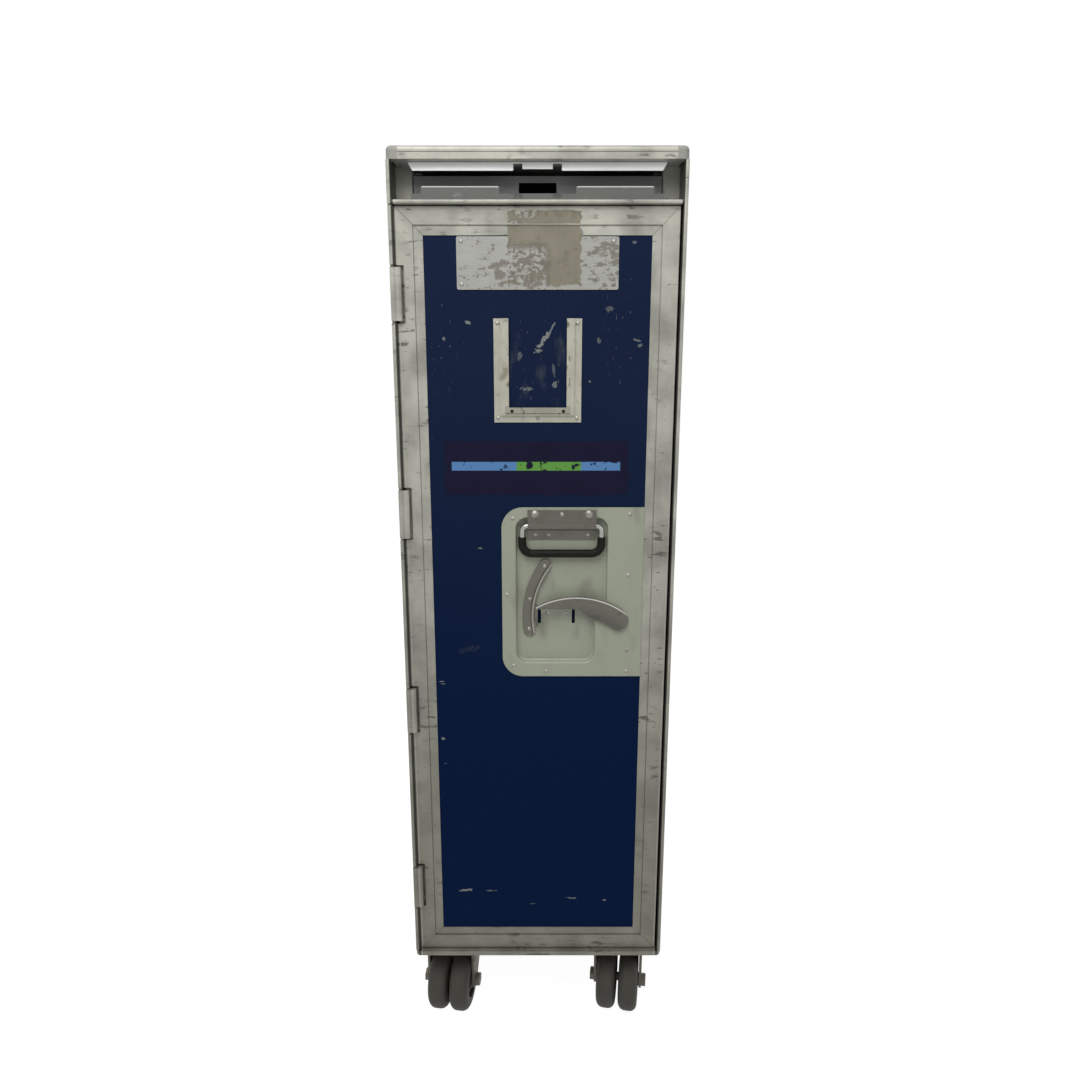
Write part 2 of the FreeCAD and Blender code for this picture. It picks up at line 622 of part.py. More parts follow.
def shelf_guides():
    """Two angles that carry the shelf's edges, one on each wall of the bay."""
    shapes = []
    top = number("places.ledge_top")
    sheet = number("sizes.runner_sheet")
    start = number("places.jamb_back")
    length = number("places.post_start") - start
    for side in (-1, 1):
        wall = side * number("places.wall_inner")
        profile = [
            (wall, top), (wall - side * number("sizes.guide_ledge"), top),
            (wall - side * number("sizes.guide_ledge"), top - sheet), (wall - side * sheet, top - sheet),
            (wall - side * sheet, top - number("sizes.guide_leg")), (wall, top - number("sizes.guide_leg")),
        ]
        loop = Part.makePolygon([Vector(x, start, z) for x, z in profile + profile[:1]])
        shapes.append(Part.Face(loop).extrude(Vector(0, length, 0)))
    return shapes_as("shelf_guides", shapes)


def work_shelf():
    """A sheet shelf whose front lip is turned down, with a finger tongue between two notches."""
    body = new_body("work_shelf")
    behind = "places.shelf_front + sizes.shelf_sheet"
    pad(body, "XY", "places.shelf_under", "places.shelf_top", rectangle(
        ("-places.shelf_half", "places.shelf_half"),
        (behind, "places.rear_inner - sizes.shelf_rear_gap")))
    lip_low = "places.shelf_top - sizes.shelf_lip_drop"
    tongue_low = "places.shelf_top - sizes.shelf_tongue_drop"
    notch = "(sizes.shelf_tongue_half + sizes.shelf_notch)"
    slope = "(places.shelf_lip_half - sizes.shelf_lip_drop / 2)"
    pad(body, "XZ", "places.shelf_front", behind, [
        (f"-{slope}", lip_low), (f"-{notch}", lip_low), (f"-{notch}", "places.shelf_under"),
        ("-sizes.shelf_tongue_half", "places.shelf_under"), ("-sizes.shelf_tongue_half", tongue_low),
        ("sizes.shelf_tongue_half", tongue_low), ("sizes.shelf_tongue_half", "places.shelf_under"),
        (notch, "places.shelf_under"), (notch, lip_low), (slope, lip_low),
        ("places.shelf_lip_half", "places.shelf_under"), ("places.shelf_lip_half", "places.shelf_top"),
        ("-places.shelf_lip_half", "places.shelf_top"), ("-places.shelf_lip_half", "places.shelf_under"),
    ])
    return body


def ice_drawer():
    """A sheet pan: its floor runs forward past the front wall to a low stepped lip."""
    body = new_body("ice_drawer")
    floor_top = "places.drawer_under + sizes.drawer_sheet"
    rim = "places.drawer_under + sizes.drawer_height"
    inner = "(places.drawer_half - sizes.drawer_sheet)"
    inside_wall = "places.drawer_wall + sizes.drawer_sheet"
    pad(body, "XY", "places.drawer_under", floor_top, rectangle(
        ("-places.drawer_half", "places.drawer_half"), ("places.drawer_front", "places.drawer_back")))
    room_y = (inside_wall, "places.drawer_back")
    pad(body, "XY", floor_top, rim, rectangle(("-places.drawer_half", f"-{inner}"), room_y))
    pad(body, "XY", floor_top, rim, rectangle((inner, "places.drawer_half"), room_y))
    pad(body, "XY", floor_top, rim, rectangle((f"-{inner}", inner), (
        "places.drawer_back - sizes.drawer_sheet", "places.drawer_back")))
    tab = "places.drawer_under + sizes.drawer_tab_height"
    low = "places.drawer_under + sizes.drawer_low_height"
    notch_low = f"({floor_top}) + sizes.drawer_sheet"
    half = [
        ("sizes.drawer_tongue_half", low), ("sizes.drawer_tongue_half", notch_low),
        ("sizes.drawer_step_inner", notch_low), ("sizes.drawer_step_inner", low),
        ("sizes.drawer_tab_inner", low), ("sizes.drawer_tab_inner", tab),
        ("places.drawer_tab_outer", tab), ("places.drawer_tab_outer", low), ("places.drawer_half", low),
        ("places.drawer_half", floor_top),
    ]
    mirrored = [(f"-{u}", v) for u, v in reversed(half)]
    pad(body, "XZ", "places.drawer_front", "places.drawer_front + sizes.drawer_sheet", mirrored + half)
    round_edges(body, "sizes.drawer_tab_round", "y", [
        (f"{side}{end}", tab) for side in ("-", "")
        for end in ("sizes.drawer_tab_inner", "places.drawer_tab_outer")])
    return body


def ice_drawer_front():
    """The drawer's front wall, set behind the lip, with an oblong finger slot."""
    body = new_body("ice_drawer_front")
    floor_top = "places.drawer_under + sizes.drawer_sheet"
    slot = rectangle(("-sizes.drawer_slot_half", "sizes.drawer_slot_half"), (
        "places.drawer_under + sizes.drawer_slot_low", "places.drawer_under + sizes.drawer_slot_high"))
    pad(body, "XZ", "places.drawer_wall", "places.drawer_wall + sizes.drawer_sheet", rectangle(
        ("-places.drawer_half", "places.drawer_half"),
        (floor_top, "places.drawer_under + sizes.drawer_height")), slot)
    return body


node("runners", shapes_as("runners", runners()))
node("shelf_guides", shelf_guides())
node("work_shelf", work_shelf())
node("ice_drawer", ice_drawer())
node("ice_drawer_front", ice_drawer_front())


# ---------------------------------------------------------------- hinge

HINGES = [f"places.hinge_first + {step} * places.hinge_pitch" for step in range(4)]
HINGE_AXIS = ("places.hinge_x", "places.hinge_y")


def hinge_blocks():
    """Four knuckles that stand on the post's flange, reach into the stile's notches and hold the rod."""
    width = number("sizes.hinge_block_width")
    height = number("sizes.hinge_block_height")
    front = number("places.front")
    left = -number("places.half_width")
    depth = number("places.relief_back") - front
    bore = number("sizes.hinge_rod_radius + sizes.fixed_fit")
    shapes = []
    for centre in HINGES:
        low = number(centre) - height / 2
        knuckle = Part.makeBox(width, depth, height, Vector(left, front, low))
        corners = [e for e in knuckle.Edges if abs(e.CenterOfMass.z - low - height / 2) < 0.01
                   and e.CenterOfMass.y < front + 0.01]
        knuckle = knuckle.makeFillet(number("sizes.flange_round"), corners)
        axis = Vector(number("places.hinge_x"), number("places.hinge_y"), low)
        shapes.append(knuckle.cut(Part.makeCylinder(bore, height, axis)))
    return shapes_as("hinge_blocks", shapes)


node("hinge_blocks", hinge_blocks())
node("hinge_rod", rod("sizes.hinge_rod_radius", "z", "places.door_bottom", "places.door_top", HINGE_AXIS))


# ---------------------------------------------------------------- door frame, panel and seal

def mitred(side, outer, inner):
    """One side of the door's frame between two distances from the door's edge, mitred at both ends."""
    left, right = f"-places.door_half + {outer}", f"places.door_half - {outer}"
    low, high = f"places.door_bottom + {outer}", f"places.door_top - {outer}"
    left_in, right_in = f"-places.door_half + {inner}", f"places.door_half - {inner}"
    low_in, high_in = f"places.door_bottom + {inner}", f"places.door_top - {inner}"
    return {
        "left": [(left, low), (left_in, low_in), (left_in, high_in), (left, high)],
        "right": [(right, low), (right, high), (right_in, high_in), (right_in, low_in)],
        "low": [(left, low), (right, low), (right_in, low_in), (left_in, low_in)],
        "high": [(left, high), (left_in, high_in), (right_in, high_in), (right, high)],
    }[side]


def frame_member(side):
    """A frame extrusion: a flat outer band, a narrow groove and a lower inner band."""
    body = new_body("frame_member")
    pad(body, "XZ", "places.door_face", "places.door_back", mitred(side, "0", "places.frame_width"))
    dropped = "places.door_face + sizes.inner_band_drop"
    pocket(body, "XZ", "places.door_face", dropped, mitred(side, "sizes.outer_band", "places.frame_width"))
    groove = mitred(side, "sizes.outer_band", "(sizes.outer_band + sizes.band_groove)")
    pocket(body, "XZ", dropped, f"{dropped} + sizes.band_groove", groove)
    return body


def hinge_web():
    """The web that joins the hinge barrel to the stile's edge, in plan."""
    body = new_body("hinge_web")
    edge = "-places.door_half"
    pad(body, "XY", "places.door_bottom", "places.door_top", [
        ("places.hinge_x", "places.web_front"), (f"{edge} - sizes.web_thick / 2", "places.web_front"),
        (edge, "places.door_face"), (edge, "places.door_face + 2 * sizes.web_thick"),
        (f"{edge} - 0.9 * sizes.web_thick", "places.door_face + 2 * sizes.web_thick"),
        (f"{edge} - 0.9 * sizes.web_thick", "places.web_back"), ("places.hinge_x", "places.web_back"),
    ])
    return body


def hinge_stile():
    """The left frame member with its hinge barrel, notched round the four knuckles."""
    barrel = rod("sizes.barrel_radius", "z", "places.door_bottom", "places.door_top", HINGE_AXIS)
    bore = rod("sizes.hinge_rod_radius + sizes.running_fit", "z", "places.door_bottom",
               "places.door_top", HINGE_AXIS)
    notches = [block(("-places.half_width", "places.notch_right"),
                     ("places.front", "places.front + sizes.notch_depth"),
                     (f"{centre} - places.notch_half", f"{centre} + places.notch_half"))
               for centre in HINGES]
    return cut(fuse(frame_member("left"), barrel, hinge_web()), fuse(bore, *notches))


node("door_stile_hinge", hinge_stile())
node("door_stile_latch", frame_member("right"))
node("door_rail_top", frame_member("high"))
node("door_rail_bottom", frame_member("low"))

PIVOT = ("places.pivot_x", "places.pivot_z")
PLATE_COLUMN = "places.plate_right - sizes.screw_column"
PLATE_SCREWS = [
    ("places.plate_left + sizes.screw_inset", "places.plate_high - sizes.screw_inset"),
    ("places.plate_left + sizes.screw_edge", "places.pivot_z + sizes.screw_rise"),
    ("places.plate_left + sizes.screw_inset", "places.plate_low + sizes.screw_inset"),
    ("places.plate_left + 4 * sizes.screw_inset", "places.plate_low + sizes.screw_edge"),
    (PLATE_COLUMN, "places.plate_low + sizes.screw_edge"),
    (PLATE_COLUMN, "places.plate_low + 2.5 * sizes.screw_inset"),
    (PLATE_COLUMN, "places.pivot_z + 4 * sizes.screw_inset"),
    (PLATE_COLUMN, "places.plate_high - 1.5 * sizes.screw_edge"),
]
BRACKET_BOLTS = [(f"places.bail_middle + {side} * sizes.bracket_bolt_x",
                  "places.bracket_high - sizes.bracket_bolt_drop") for side in (-1, 1)]
BRACKET_SCREWS = [(f"places.bail_middle + {side} * sizes.bracket_bolt_x",
                   "places.bracket_low + sizes.bracket_screw_rise") for side in (-1, 1)]
PLACARD_SCREWS = [(f"{x} * (sizes.placard_half - sizes.placard_screw_inset)", z) for x in (-1, 1)
                  for z in ("places.placard_low + sizes.placard_screw_inset",
                            "places.placard_high - sizes.placard_screw_inset")]
HOLDER_RIVETS = [(f"{x} * (sizes.holder_half - sizes.holder_flange / 2)", z) for x in (-1, 1)
                 for z in ("places.holder_low + sizes.holder_flange / 2",
                           "places.holder_high - sizes.placard_screw_inset")]
HOLDER_RIVETS.append(("0", "places.holder_low + sizes.holder_flange / 2"))
CATCH_RIVETS = [("places.slot_left + sizes.catch_rivet_inset", "places.slot_low + sizes.catch_rivet_rise"),
                ("places.slot_right - sizes.catch_rivet_inset", "places.slot_low + sizes.catch_rivet_rise")]
BRACKET_RIVET_HIGH = ("places.bail_middle", "places.bracket_high - sizes.bracket_bolt_drop")
BRACKET_RIVET_LOW = ("places.bail_middle - sizes.bracket_bolt_x / 2",
                     "places.bracket_low + sizes.bracket_screw_rise")
SHANK_HOLE = "sizes.screw_shank + sizes.fixed_fit"


def guide_spot(angle):
    """A place on the guide's middle line, at an angle above the level through the pivot."""
    return (f"places.pivot_x - sizes.guide_radius * cos({angle})",
            f"places.pivot_z + sizes.guide_radius * sin({angle})")


GUIDE_RIVETS = [guide_spot("-sizes.guide_low_angle * 0.9"), guide_spot("11.5"),
                guide_spot("sizes.guide_high_angle * 0.97")]


def recess_outline(grow):
    """The pressed recess in the latch plate, wide at the top and narrower below the lever."""
    left = f"places.recess_left - {grow}"
    narrow, wide = f"places.recess_narrow + {grow}", f"places.recess_right + {grow}"
    low, high = f"places.recess_low - {grow}", f"places.recess_high + {grow}"
    return [(left, low), (narrow, low), (narrow, "places.recess_waist - sizes.recess_step"),
            (wide, "places.recess_waist + sizes.recess_step"), (wide, high), (left, high)]


def door_panel():
    """The laminate-faced core, hollowed behind the recess, with holes for the shaft and the screws."""
    body = new_body("door_panel")
    pad(body, "XZ", "places.panel_face", "places.liner_face", rectangle(
        ("-places.panel_half", "places.panel_half"), ("places.panel_low", "places.panel_high")))
    pocket(body, "XZ", "places.panel_face", "places.recess_back + sizes.cavity_gap",
           recess_outline("(sizes.plate_thick + sizes.cavity_gap)"))
    drill(body, "XZ", "places.panel_face", "places.liner_face", [PIVOT],
          "sizes.bush_radius + sizes.fixed_fit")
    screws = PLATE_SCREWS + BRACKET_BOLTS + PLACARD_SCREWS + HOLDER_RIVETS
    drill(body, "XZ", "places.panel_face", "places.panel_face + sizes.screw_depth", screws, SHANK_HOLE)
    return body


def door_liner():
    body = new_body("door_liner")
    pad(body, "XZ", "places.liner_face", "places.door_back", rectangle(
        ("-places.panel_half", "places.panel_half"), ("places.panel_low", "places.panel_high")))
    drill(body, "XZ", "places.liner_face", "places.door_back", [PIVOT],
          "sizes.bush_radius + sizes.fixed_fit")
    return body


def door_seal():
    """A flat rubber ring on the door's back that meets the jamb."""
    body = new_body("door_seal")
    rings = []
    for inset in ("sizes.seal_inset", "(sizes.seal_inset + sizes.seal_width)"):
        rings.append(rectangle(
            (f"-places.door_half + {inset}", f"places.door_half - {inset}"),
            (f"places.door_bottom + {inset}", f"places.door_top - {inset}")))
    back = "places.door_back + sizes.seal_gap - sizes.seal_clearance"
    pad(body, "XZ", "places.door_back", back, *rings)
    return body


node("door_panel", door_panel())
node("door_liner", door_liner())
node("door_seal", door_seal())


# ---------------------------------------------------------------- plates on the door

def placard_plate():
    body = new_body("placard_plate")
    pad(body, "XZ", "places.panel_face - sizes.placard_thick", "places.panel_face", rectangle(
        ("-sizes.placard_half", "sizes.placard_half"), ("places.placard_low", "places.placard_high")))
    round_edges(body, "sizes.placard_round", "y", [(f"{x}sizes.placard_half", f"places.placard_{z}")
                                 for x in ("-", "") for z in ("low", "high")])
    drill(body, "XZ", "places.panel_face - sizes.placard_thick", "places.panel_face",
          PLACARD_SCREWS, SHANK_HOLE)
    return body


def card_holder():
    """A U of folded sheet: a riveted flange and a raised inner lip that holds a card at its edges."""
    body = new_body("card_holder")

    def strip(outer, inner):
        left, right = f"-sizes.holder_half + {outer}", f"sizes.holder_half - {outer}"
        left_in, right_in = f"-sizes.holder_half + {inner}", f"sizes.holder_half - {inner}"
        low, low_in = f"places.holder_low + {outer}", f"places.holder_low + {inner}"
        high = "places.holder_high"
        return [(left, high), (left, low), (right, low), (right, high),
                (right_in, high), (right_in, low_in), (left_in, low_in), (left_in, high)]

    flange_top = "places.panel_face - sizes.holder_sheet"
    lip_under = f"{flange_top} - sizes.holder_slot"
    lip_top = f"{lip_under} - sizes.holder_sheet"
    fold = "(sizes.holder_flange - sizes.holder_sheet)"
    pad(body, "XZ", flange_top, "places.panel_face", strip("0", "sizes.holder_flange"))
    pad(body, "XZ", lip_under, flange_top, strip(fold, "sizes.holder_flange"))
    pad(body, "XZ", lip_top, lip_under, strip(fold, "sizes.holder_arm"))
    drill(body, "XZ", flange_top, "places.panel_face", HOLDER_RIVETS, SHANK_HOLE)
    return body


def recess_form(grow, low, high):
    """The recess as a solid block with rounded corners, without the slanted step's edges rounded."""
    body = new_body("recess_form")
    outline = recess_outline(grow)
    pad(body, "XZ", low, high, outline)
    corners = [outline[0], outline[1], outline[4], outline[5]]
    round_edges(body, f"sizes.recess_round + {grow}", "y", corners)
    return body


def level_edges(shape, height, left, right):
    """The numbers of a shape's edges that lie level at a height along Y, between two places in X."""
    found = []
    for index, edge in enumerate(shape.Edges, start=1):
        box = edge.BoundBox
        level = abs(box.YMin - height) < 0.01 and abs(box.YMax - height) < 0.01
        if level and box.XMin > left - 0.1 and box.XMax < right + 0.1:
            found.append(index)
    return found


def latch_plate():
    """A pressed plate: a flange on the panel and a recess for the drop handle and the lever's grip."""
    flange = new_body("latch_flange")
    pad(flange, "XZ", "places.plate_face", "places.panel_face", rectangle(
        ("places.plate_left", "places.plate_right"), ("places.plate_low", "places.plate_high")))
    round_edges(flange, "sizes.plate_round", "y", [
        ("places.plate_left", "places.plate_low"), ("places.plate_left", "places.plate_high")])
    pan = recess_form("sizes.plate_thick", "places.panel_face", "places.recess_back")
    hollow = recess_form("0", "places.plate_face", "places.recess_floor")
    doc.recompute()
    inside = (number("places.recess_left"), number("places.recess_right"))
    floor_edges = level_edges(hollow.Shape, number("places.recess_floor"), *inside)
    floor_round = hollow.newObject("PartDesign::Fillet", "floor_round")
    floor_round.Base = (hollow.Group[-2], [f"Edge{index}" for index in floor_edges])
    floor_round.setExpression("Radius", "sizes.rim_round")
    hollow.Tip = floor_round
    slots = [block((f"{middle} - sizes.slot_width / 2", f"{middle} + sizes.slot_width / 2"),
                   ("places.recess_floor", "places.recess_back"), ("places.slot_low", "places.slot_high"))
             for middle in ("places.slot_left", "places.slot_right")]
    holes = [rod(SHANK_HOLE, "y", "places.plate_face", "places.panel_face", spot)
             for spot in PLATE_SCREWS + BRACKET_BOLTS + [BRACKET_RIVET_HIGH]]
    holes += [rod(SHANK_HOLE, "y", "places.recess_floor", "places.recess_back", spot)
              for spot in BRACKET_SCREWS + [BRACKET_RIVET_LOW] + GUIDE_RIVETS + CATCH_RIVETS]
    holes.append(rod("sizes.bush_radius + sizes.fixed_fit", "y", "places.plate_face",
                     "places.panel_face", PIVOT))
    sheet = cut(fuse(flange, pan), hollow)
    doc.recompute()
    rim = doc.addObject("Part::Fillet", "rim")
    rim.Base = sheet
    radius = number("sizes.rim_round")
    edges = level_edges(sheet.Shape, number("places.plate_face"), *inside)
    rim.Edges = [(index, radius, radius) for index in edges]
    return cut(rim, fuse(*slots, *holes))


def lever_guide():
    """A quadrant round the pivot with a raised inner lip, modelled on the level and turned to its place."""
    face = "places.recess_floor - sizes.guide_thick"
    half = "sizes.guide_width / 2"
    sweep = "sizes.guide_low_angle + sizes.guide_high_angle"

    def sector(outer, inner, low, high):
        disc = rod(outer, "y", low, high, ("0", "0"))
        disc.setExpression("Angle", sweep)
        return cut(disc, rod(inner, "y", low, high, ("0", "0")))

    band = sector(f"sizes.guide_radius + {half}", f"sizes.guide_radius - {half}",
                  face, "places.recess_floor")
    lip = sector(f"sizes.guide_radius - {half} + sizes.guide_lip", f"sizes.guide_radius - {half}",
                 f"{face} - sizes.guide_lip_height", face)
    start = rod(half, "y", face, "places.recess_floor", ("sizes.guide_radius", "0"))
    end = rod(half, "y", face, "places.recess_floor", (
        f"sizes.guide_radius * cos({sweep})", f"-sizes.guide_radius * sin({sweep})"))
    holes = [rod(SHANK_HOLE, "y", face, "places.recess_floor", (
        f"sizes.guide_radius * cos({angle})", f"-sizes.guide_radius * sin({angle})"))
        for angle in ("sizes.guide_low_angle * 0.1", "sizes.guide_low_angle + 11.5",
                      "sizes.guide_low_angle + sizes.guide_high_angle * 0.97")]
    guide = cut(fuse(band, lip, start, end), fuse(*holes))
    guide.Placement = Placement(Vector(), Rotation(Vector(0, 1, 0), 180))
    guide.setExpression("Placement.Base.x", "places.pivot_x")
    guide.setExpression("Placement.Base.z", "places.pivot_z")
    guide.setExpression("Placement.Rotation.Angle", "180 - sizes.guide_low_angle")
    return guide


def handle_bracket():
    """A strap round the drop handle's rod: bolted to the plate above, screwed to the recess below."""
    across = ("places.bail_middle - sizes.bracket_half", "places.bail_middle + sizes.bracket_half")
    axis = ("places.bail_y", "places.bail_axis_z")
    upper = block(across, ("places.plate_face - sizes.bracket_thick", "places.plate_face"),
                  ("places.bail_axis_z", "places.bracket_high"))
    lower = block(across, ("places.recess_floor - sizes.bracket_thick", "places.recess_floor"),
                  ("places.bracket_low", "places.bail_axis_z"))
    knuckle = rod("sizes.knuckle_radius", "x", *across, axis)
    bore = rod("sizes.bail_rod_radius + sizes.running_fit", "x", *across, axis)
    holes = [rod(SHANK_HOLE, "y", "places.plate_face - sizes.bracket_thick", "places.plate_face", spot)
             for spot in BRACKET_BOLTS + [BRACKET_RIVET_HIGH]]
    holes += [rod(SHANK_HOLE, "y", "places.recess_floor - sizes.bracket_thick", "places.recess_floor", spot)
              for spot in BRACKET_SCREWS + [BRACKET_RIVET_LOW]]
    return cut(fuse(upper, lower, knuckle), fuse(bore, *holes))


def fastener(spot, seat, head, height, depth):
    """A domed head on its seat, facing the front, with a shank of the given depth behind it."""
    x, z = (number(value) for value in spot)
    y = number(seat)
    head, height = number(head), number(height)
    shank = number("sizes.screw_shank")
    dome_radius = (head * head + height * height) / (2 * height)
    ball = Part.makeSphere(dome_radius, Vector(x, y - height + dome_radius, z))
    keep = Part.makeBox(4 * head, 2 * height, 4 * head, Vector(x - 2 * head, y - 2 * height, z - 2 * head))
    stem = Part.makeCylinder(shank, number(depth), Vector(x, y, z), Vector(0, 1, 0))
    return ball.common(keep).fuse(stem).removeSplitter()


def door_screws():
    """Small screws of the latch plate, placard and bracket, and the bracket's two large bolts."""
    small = ("sizes.screw_head", "sizes.screw_head_height")
    large = ("sizes.bolt_head", "sizes.bolt_head_height")
    through = "sizes.bracket_thick + sizes.plate_thick + 0.8 * sizes.screw_depth"
    shapes = [fastener(spot, "places.plate_face", *small, "sizes.screw_depth") for spot in PLATE_SCREWS]
    shapes += [fastener(spot, "places.panel_face - sizes.placard_thick", *small, "0.8 * sizes.screw_depth")
               for spot in PLACARD_SCREWS]
    shapes += [fastener(spot, "places.plate_face - sizes.bracket_thick", *large, through)
               for spot in BRACKET_BOLTS]
    shapes += [fastener(spot, "places.recess_floor - sizes.bracket_thick", *small,
                        "sizes.bracket_thick + sizes.plate_thick") for spot in BRACKET_SCREWS]
    return shapes


def door_rivets():
    """Rivets of the card holder, the lever guide, the bracket and the catch behind the recess."""
    head = ("sizes.rivet_head", "sizes.rivet_head_height")
    shapes = [fastener(spot, "places.panel_face - sizes.holder_sheet", *head, "0.8 * sizes.screw_depth")
              for spot in HOLDER_RIVETS]
    shapes += [fastener(spot, "places.recess_floor - sizes.guide_thick", *head,
                        "sizes.guide_thick + sizes.plate_thick") for spot in GUIDE_RIVETS]
    shapes += [fastener(spot, "places.recess_floor", *head, "sizes.plate_thick") for spot in CATCH_RIVETS]
    grip = "sizes.bracket_thick + sizes.plate_thick"
    shapes.append(fastener(BRACKET_RIVET_HIGH, "places.plate_face - sizes.bracket_thick", *head, grip))
    shapes.append(fastener(BRACKET_RIVET_LOW, "places.recess_floor - sizes.bracket_thick", *head, grip))
    return shapes


node("placard_plate", placard_plate())
node("card_holder", card_holder())
node("latch_plate", latch_plate())
node("lever_guide", lever_guide())
node("handle_bracket", handle_bracket())
node("door_fasteners", shapes_as("door_fasteners", door_screws() + door_rivets()))


# ---------------------------------------------------------------- latch and keeper

def shaft_bush():
    """A flanged bush through the plate, panel and liner."""
    tube = rod("sizes.bush_radius", "y", "places.plate_face", "places.door_back", PIVOT)
    flange = rod("sizes.bush_flange_radius", "y", "places.plate_face - sizes.bush_flange_thick",
                 "places.plate_face", PIVOT)
    bore = rod("sizes.shaft_radius + sizes.running_fit", "y",
               "places.plate_face - sizes.bush_flange_thick", "places.door_back", PIVOT)
    return cut(fuse(tube, flange), bore)


def latch_lever():
    """A flat lever with a crowned back, a round end on the shaft and a tail folded into the recess."""
    def from_pivot(x, z):
        return (f"places.pivot_x - {x}", f"places.pivot_z + {z}")

    body = new_body("lever_blade")
    bend = from_pivot("sizes.lever_bend_x", "sizes.lever_grip_height")
    throat = from_pivot("sizes.lever_throat_x", "sizes.lever_throat_z")
    pad(body, "XZ", "places.lever_front", "places.lever_back", [
        from_pivot("sizes.lever_reach", "sizes.lever_grip_height"), bend, throat,
        from_pivot("sizes.lever_throat_x / 2", "-sizes.lever_end_radius * 0.4"),
        from_pivot("0", "-sizes.lever_end_radius - sizes.lever_end_drop"),
        from_pivot("-sizes.lever_end_radius / 2", "-sizes.lever_end_radius"),
        from_pivot("-sizes.lever_end_radius / 2", "sizes.lever_reach"),
        from_pivot("sizes.lever_reach", "sizes.lever_reach"),
    ])
    round_edges(body, "sizes.lever_bend_radius", "y", [bend, throat])
    crown = rod("sizes.lever_crown_radius", "y", "places.lever_front", "places.lever_back",
                from_pivot("sizes.lever_crown_x", "-sizes.lever_crown_drop"))
    end = rod("sizes.lever_end_radius", "y", "places.lever_front", "places.lever_back",
              from_pivot("0", "-sizes.lever_end_drop"))
    tail = block(("places.pivot_x - sizes.lever_reach",
                  "places.pivot_x - sizes.lever_reach + sizes.lever_tail_width"),
                 ("places.lever_front", "places.recess_floor - sizes.lever_floor_gap"),
                 ("places.pivot_z - sizes.lever_tail_drop",
                  "places.pivot_z + sizes.lever_grip_height + sizes.lever_tail_width"))
    return fuse(common(body, crown), end, tail)


def latch_tongue():
    """A flat tongue on the shaft's inner end that hooks behind the keeper, turned to its place."""
    def bar(radius, x):
        return rod(radius, "y", "places.tongue_front", "places.tongue_back", (x, "0"))

    straight = block(("0", "sizes.tongue_reach - sizes.tongue_half"),
                     ("places.tongue_front", "places.tongue_back"),
                     ("-sizes.tongue_half", "sizes.tongue_half"))
    tip = bar("sizes.tongue_half", "sizes.tongue_reach - sizes.tongue_half")
    tongue = cut(fuse(straight, tip, bar("sizes.tongue_hub", "0")),
                 bar("sizes.shaft_radius + sizes.fixed_fit", "0"))
    tongue.Placement = Placement(Vector(), Rotation(Vector(0, 1, 0), 10))
    tongue.setExpression("Placement.Base.x", "places.pivot_x")
    tongue.setExpression("Placement.Base.z", "places.pivot_z")
    tongue.setExpression("Placement.Rotation.Angle", "sizes.tongue_angle")
    return tongue


def hexagon(radius, axis, low, high, centre):
    """A six-sided nut blank along an axis between two levels, like rod()."""
    nut = doc.addObject("Part::Prism", "nut")
    nut.Polygon = 6
    nut.setExpression("Circumradius", radius)
    nut.setExpression("Height", f"({high}) - ({low})")
    across = [a for a in "xyz" if a != axis]
    turns = {"x": Rotation(Vector(0, 1, 0), 90), "y": Rotation(Vector(1, 0, 0), -90), "z": Rotation()}
    nut.Placement = Placement(Vector(), turns[axis])
    nut.setExpression(f"Placement.Base.{axis}", low)
    nut.setExpression(f"Placement.Base.{across[0]}", centre[0])
    nut.setExpression(f"Placement.Base.{across[1]}", centre[1])
    return nut


def latch_keeper():
    return block(("places.jamb_inner", "places.wall_inner"), ("places.jamb_back", "places.keeper_back"),
                 ("places.pivot_z - sizes.keeper_drop", "places.pivot_z + sizes.keeper_rise"))


node("latch_keeper", latch_keeper())
node("shaft_bush", shaft_bush())
node("latch_lever", latch_lever())
node("lever_shaft", rod("sizes.shaft_radius", "y", "places.lever_back", "places.shaft_end", PIVOT))
node("latch_tongue", latch_tongue())
node("tongue_nut", cut(
    hexagon("sizes.nut_radius", "y", "places.tongue_back", "places.shaft_end", PIVOT),
    rod("sizes.shaft_radius + sizes.fixed_fit", "y", "places.tongue_back", "places.shaft_end", PIVOT)))


# ---------------------------------------------------------------- drop handle

def quarter_ring(major, minor, centre, start):
    """A quarter of a ring that stands across Y, from an angle above the +X direction."""
    ring = doc.addObject("Part::Torus", "bend")
    ring.setExpression("Radius1", major)
    ring.setExpression("Radius2", minor)
    ring.Angle3 = 90
    turned = Rotation(Vector(1, 0, 0), 90).multiply(Rotation(Vector(0, 0, 1), start))
    ring.Placement = Placement(Vector(), turned)
    ring.setExpression("Placement.Base.x", centre[0])
    ring.setExpression("Placement.Base.y", "places.bail_y")
    ring.setExpression("Placement.Base.z", centre[1])
    return ring


def bail_u(radius, leg_top):
    """The handle's U: two legs from a height down, two bends and the bar between them."""
    left, right = "places.bail_middle - sizes.bail_half", "places.bail_middle + sizes.bail_half"
    low = "places.bail_axis_z - sizes.bail_drop"
    bend = "sizes.bail_bend"
    return [
        rod(radius, "z", f"{low} + {bend}", leg_top, (left, "places.bail_y")),
        rod(radius, "z", f"{low} + {bend}", leg_top, (right, "places.bail_y")),
        rod(radius, "x", f"{left} + {bend}", f"{right} - {bend}", ("places.bail_y", low)),
        quarter_ring(bend, radius, (f"{left} + {bend}", f"{low} + {bend}"), 180),
        quarter_ring(bend, radius, (f"{right} - {bend}", f"{low} + {bend}"), 270),
    ]


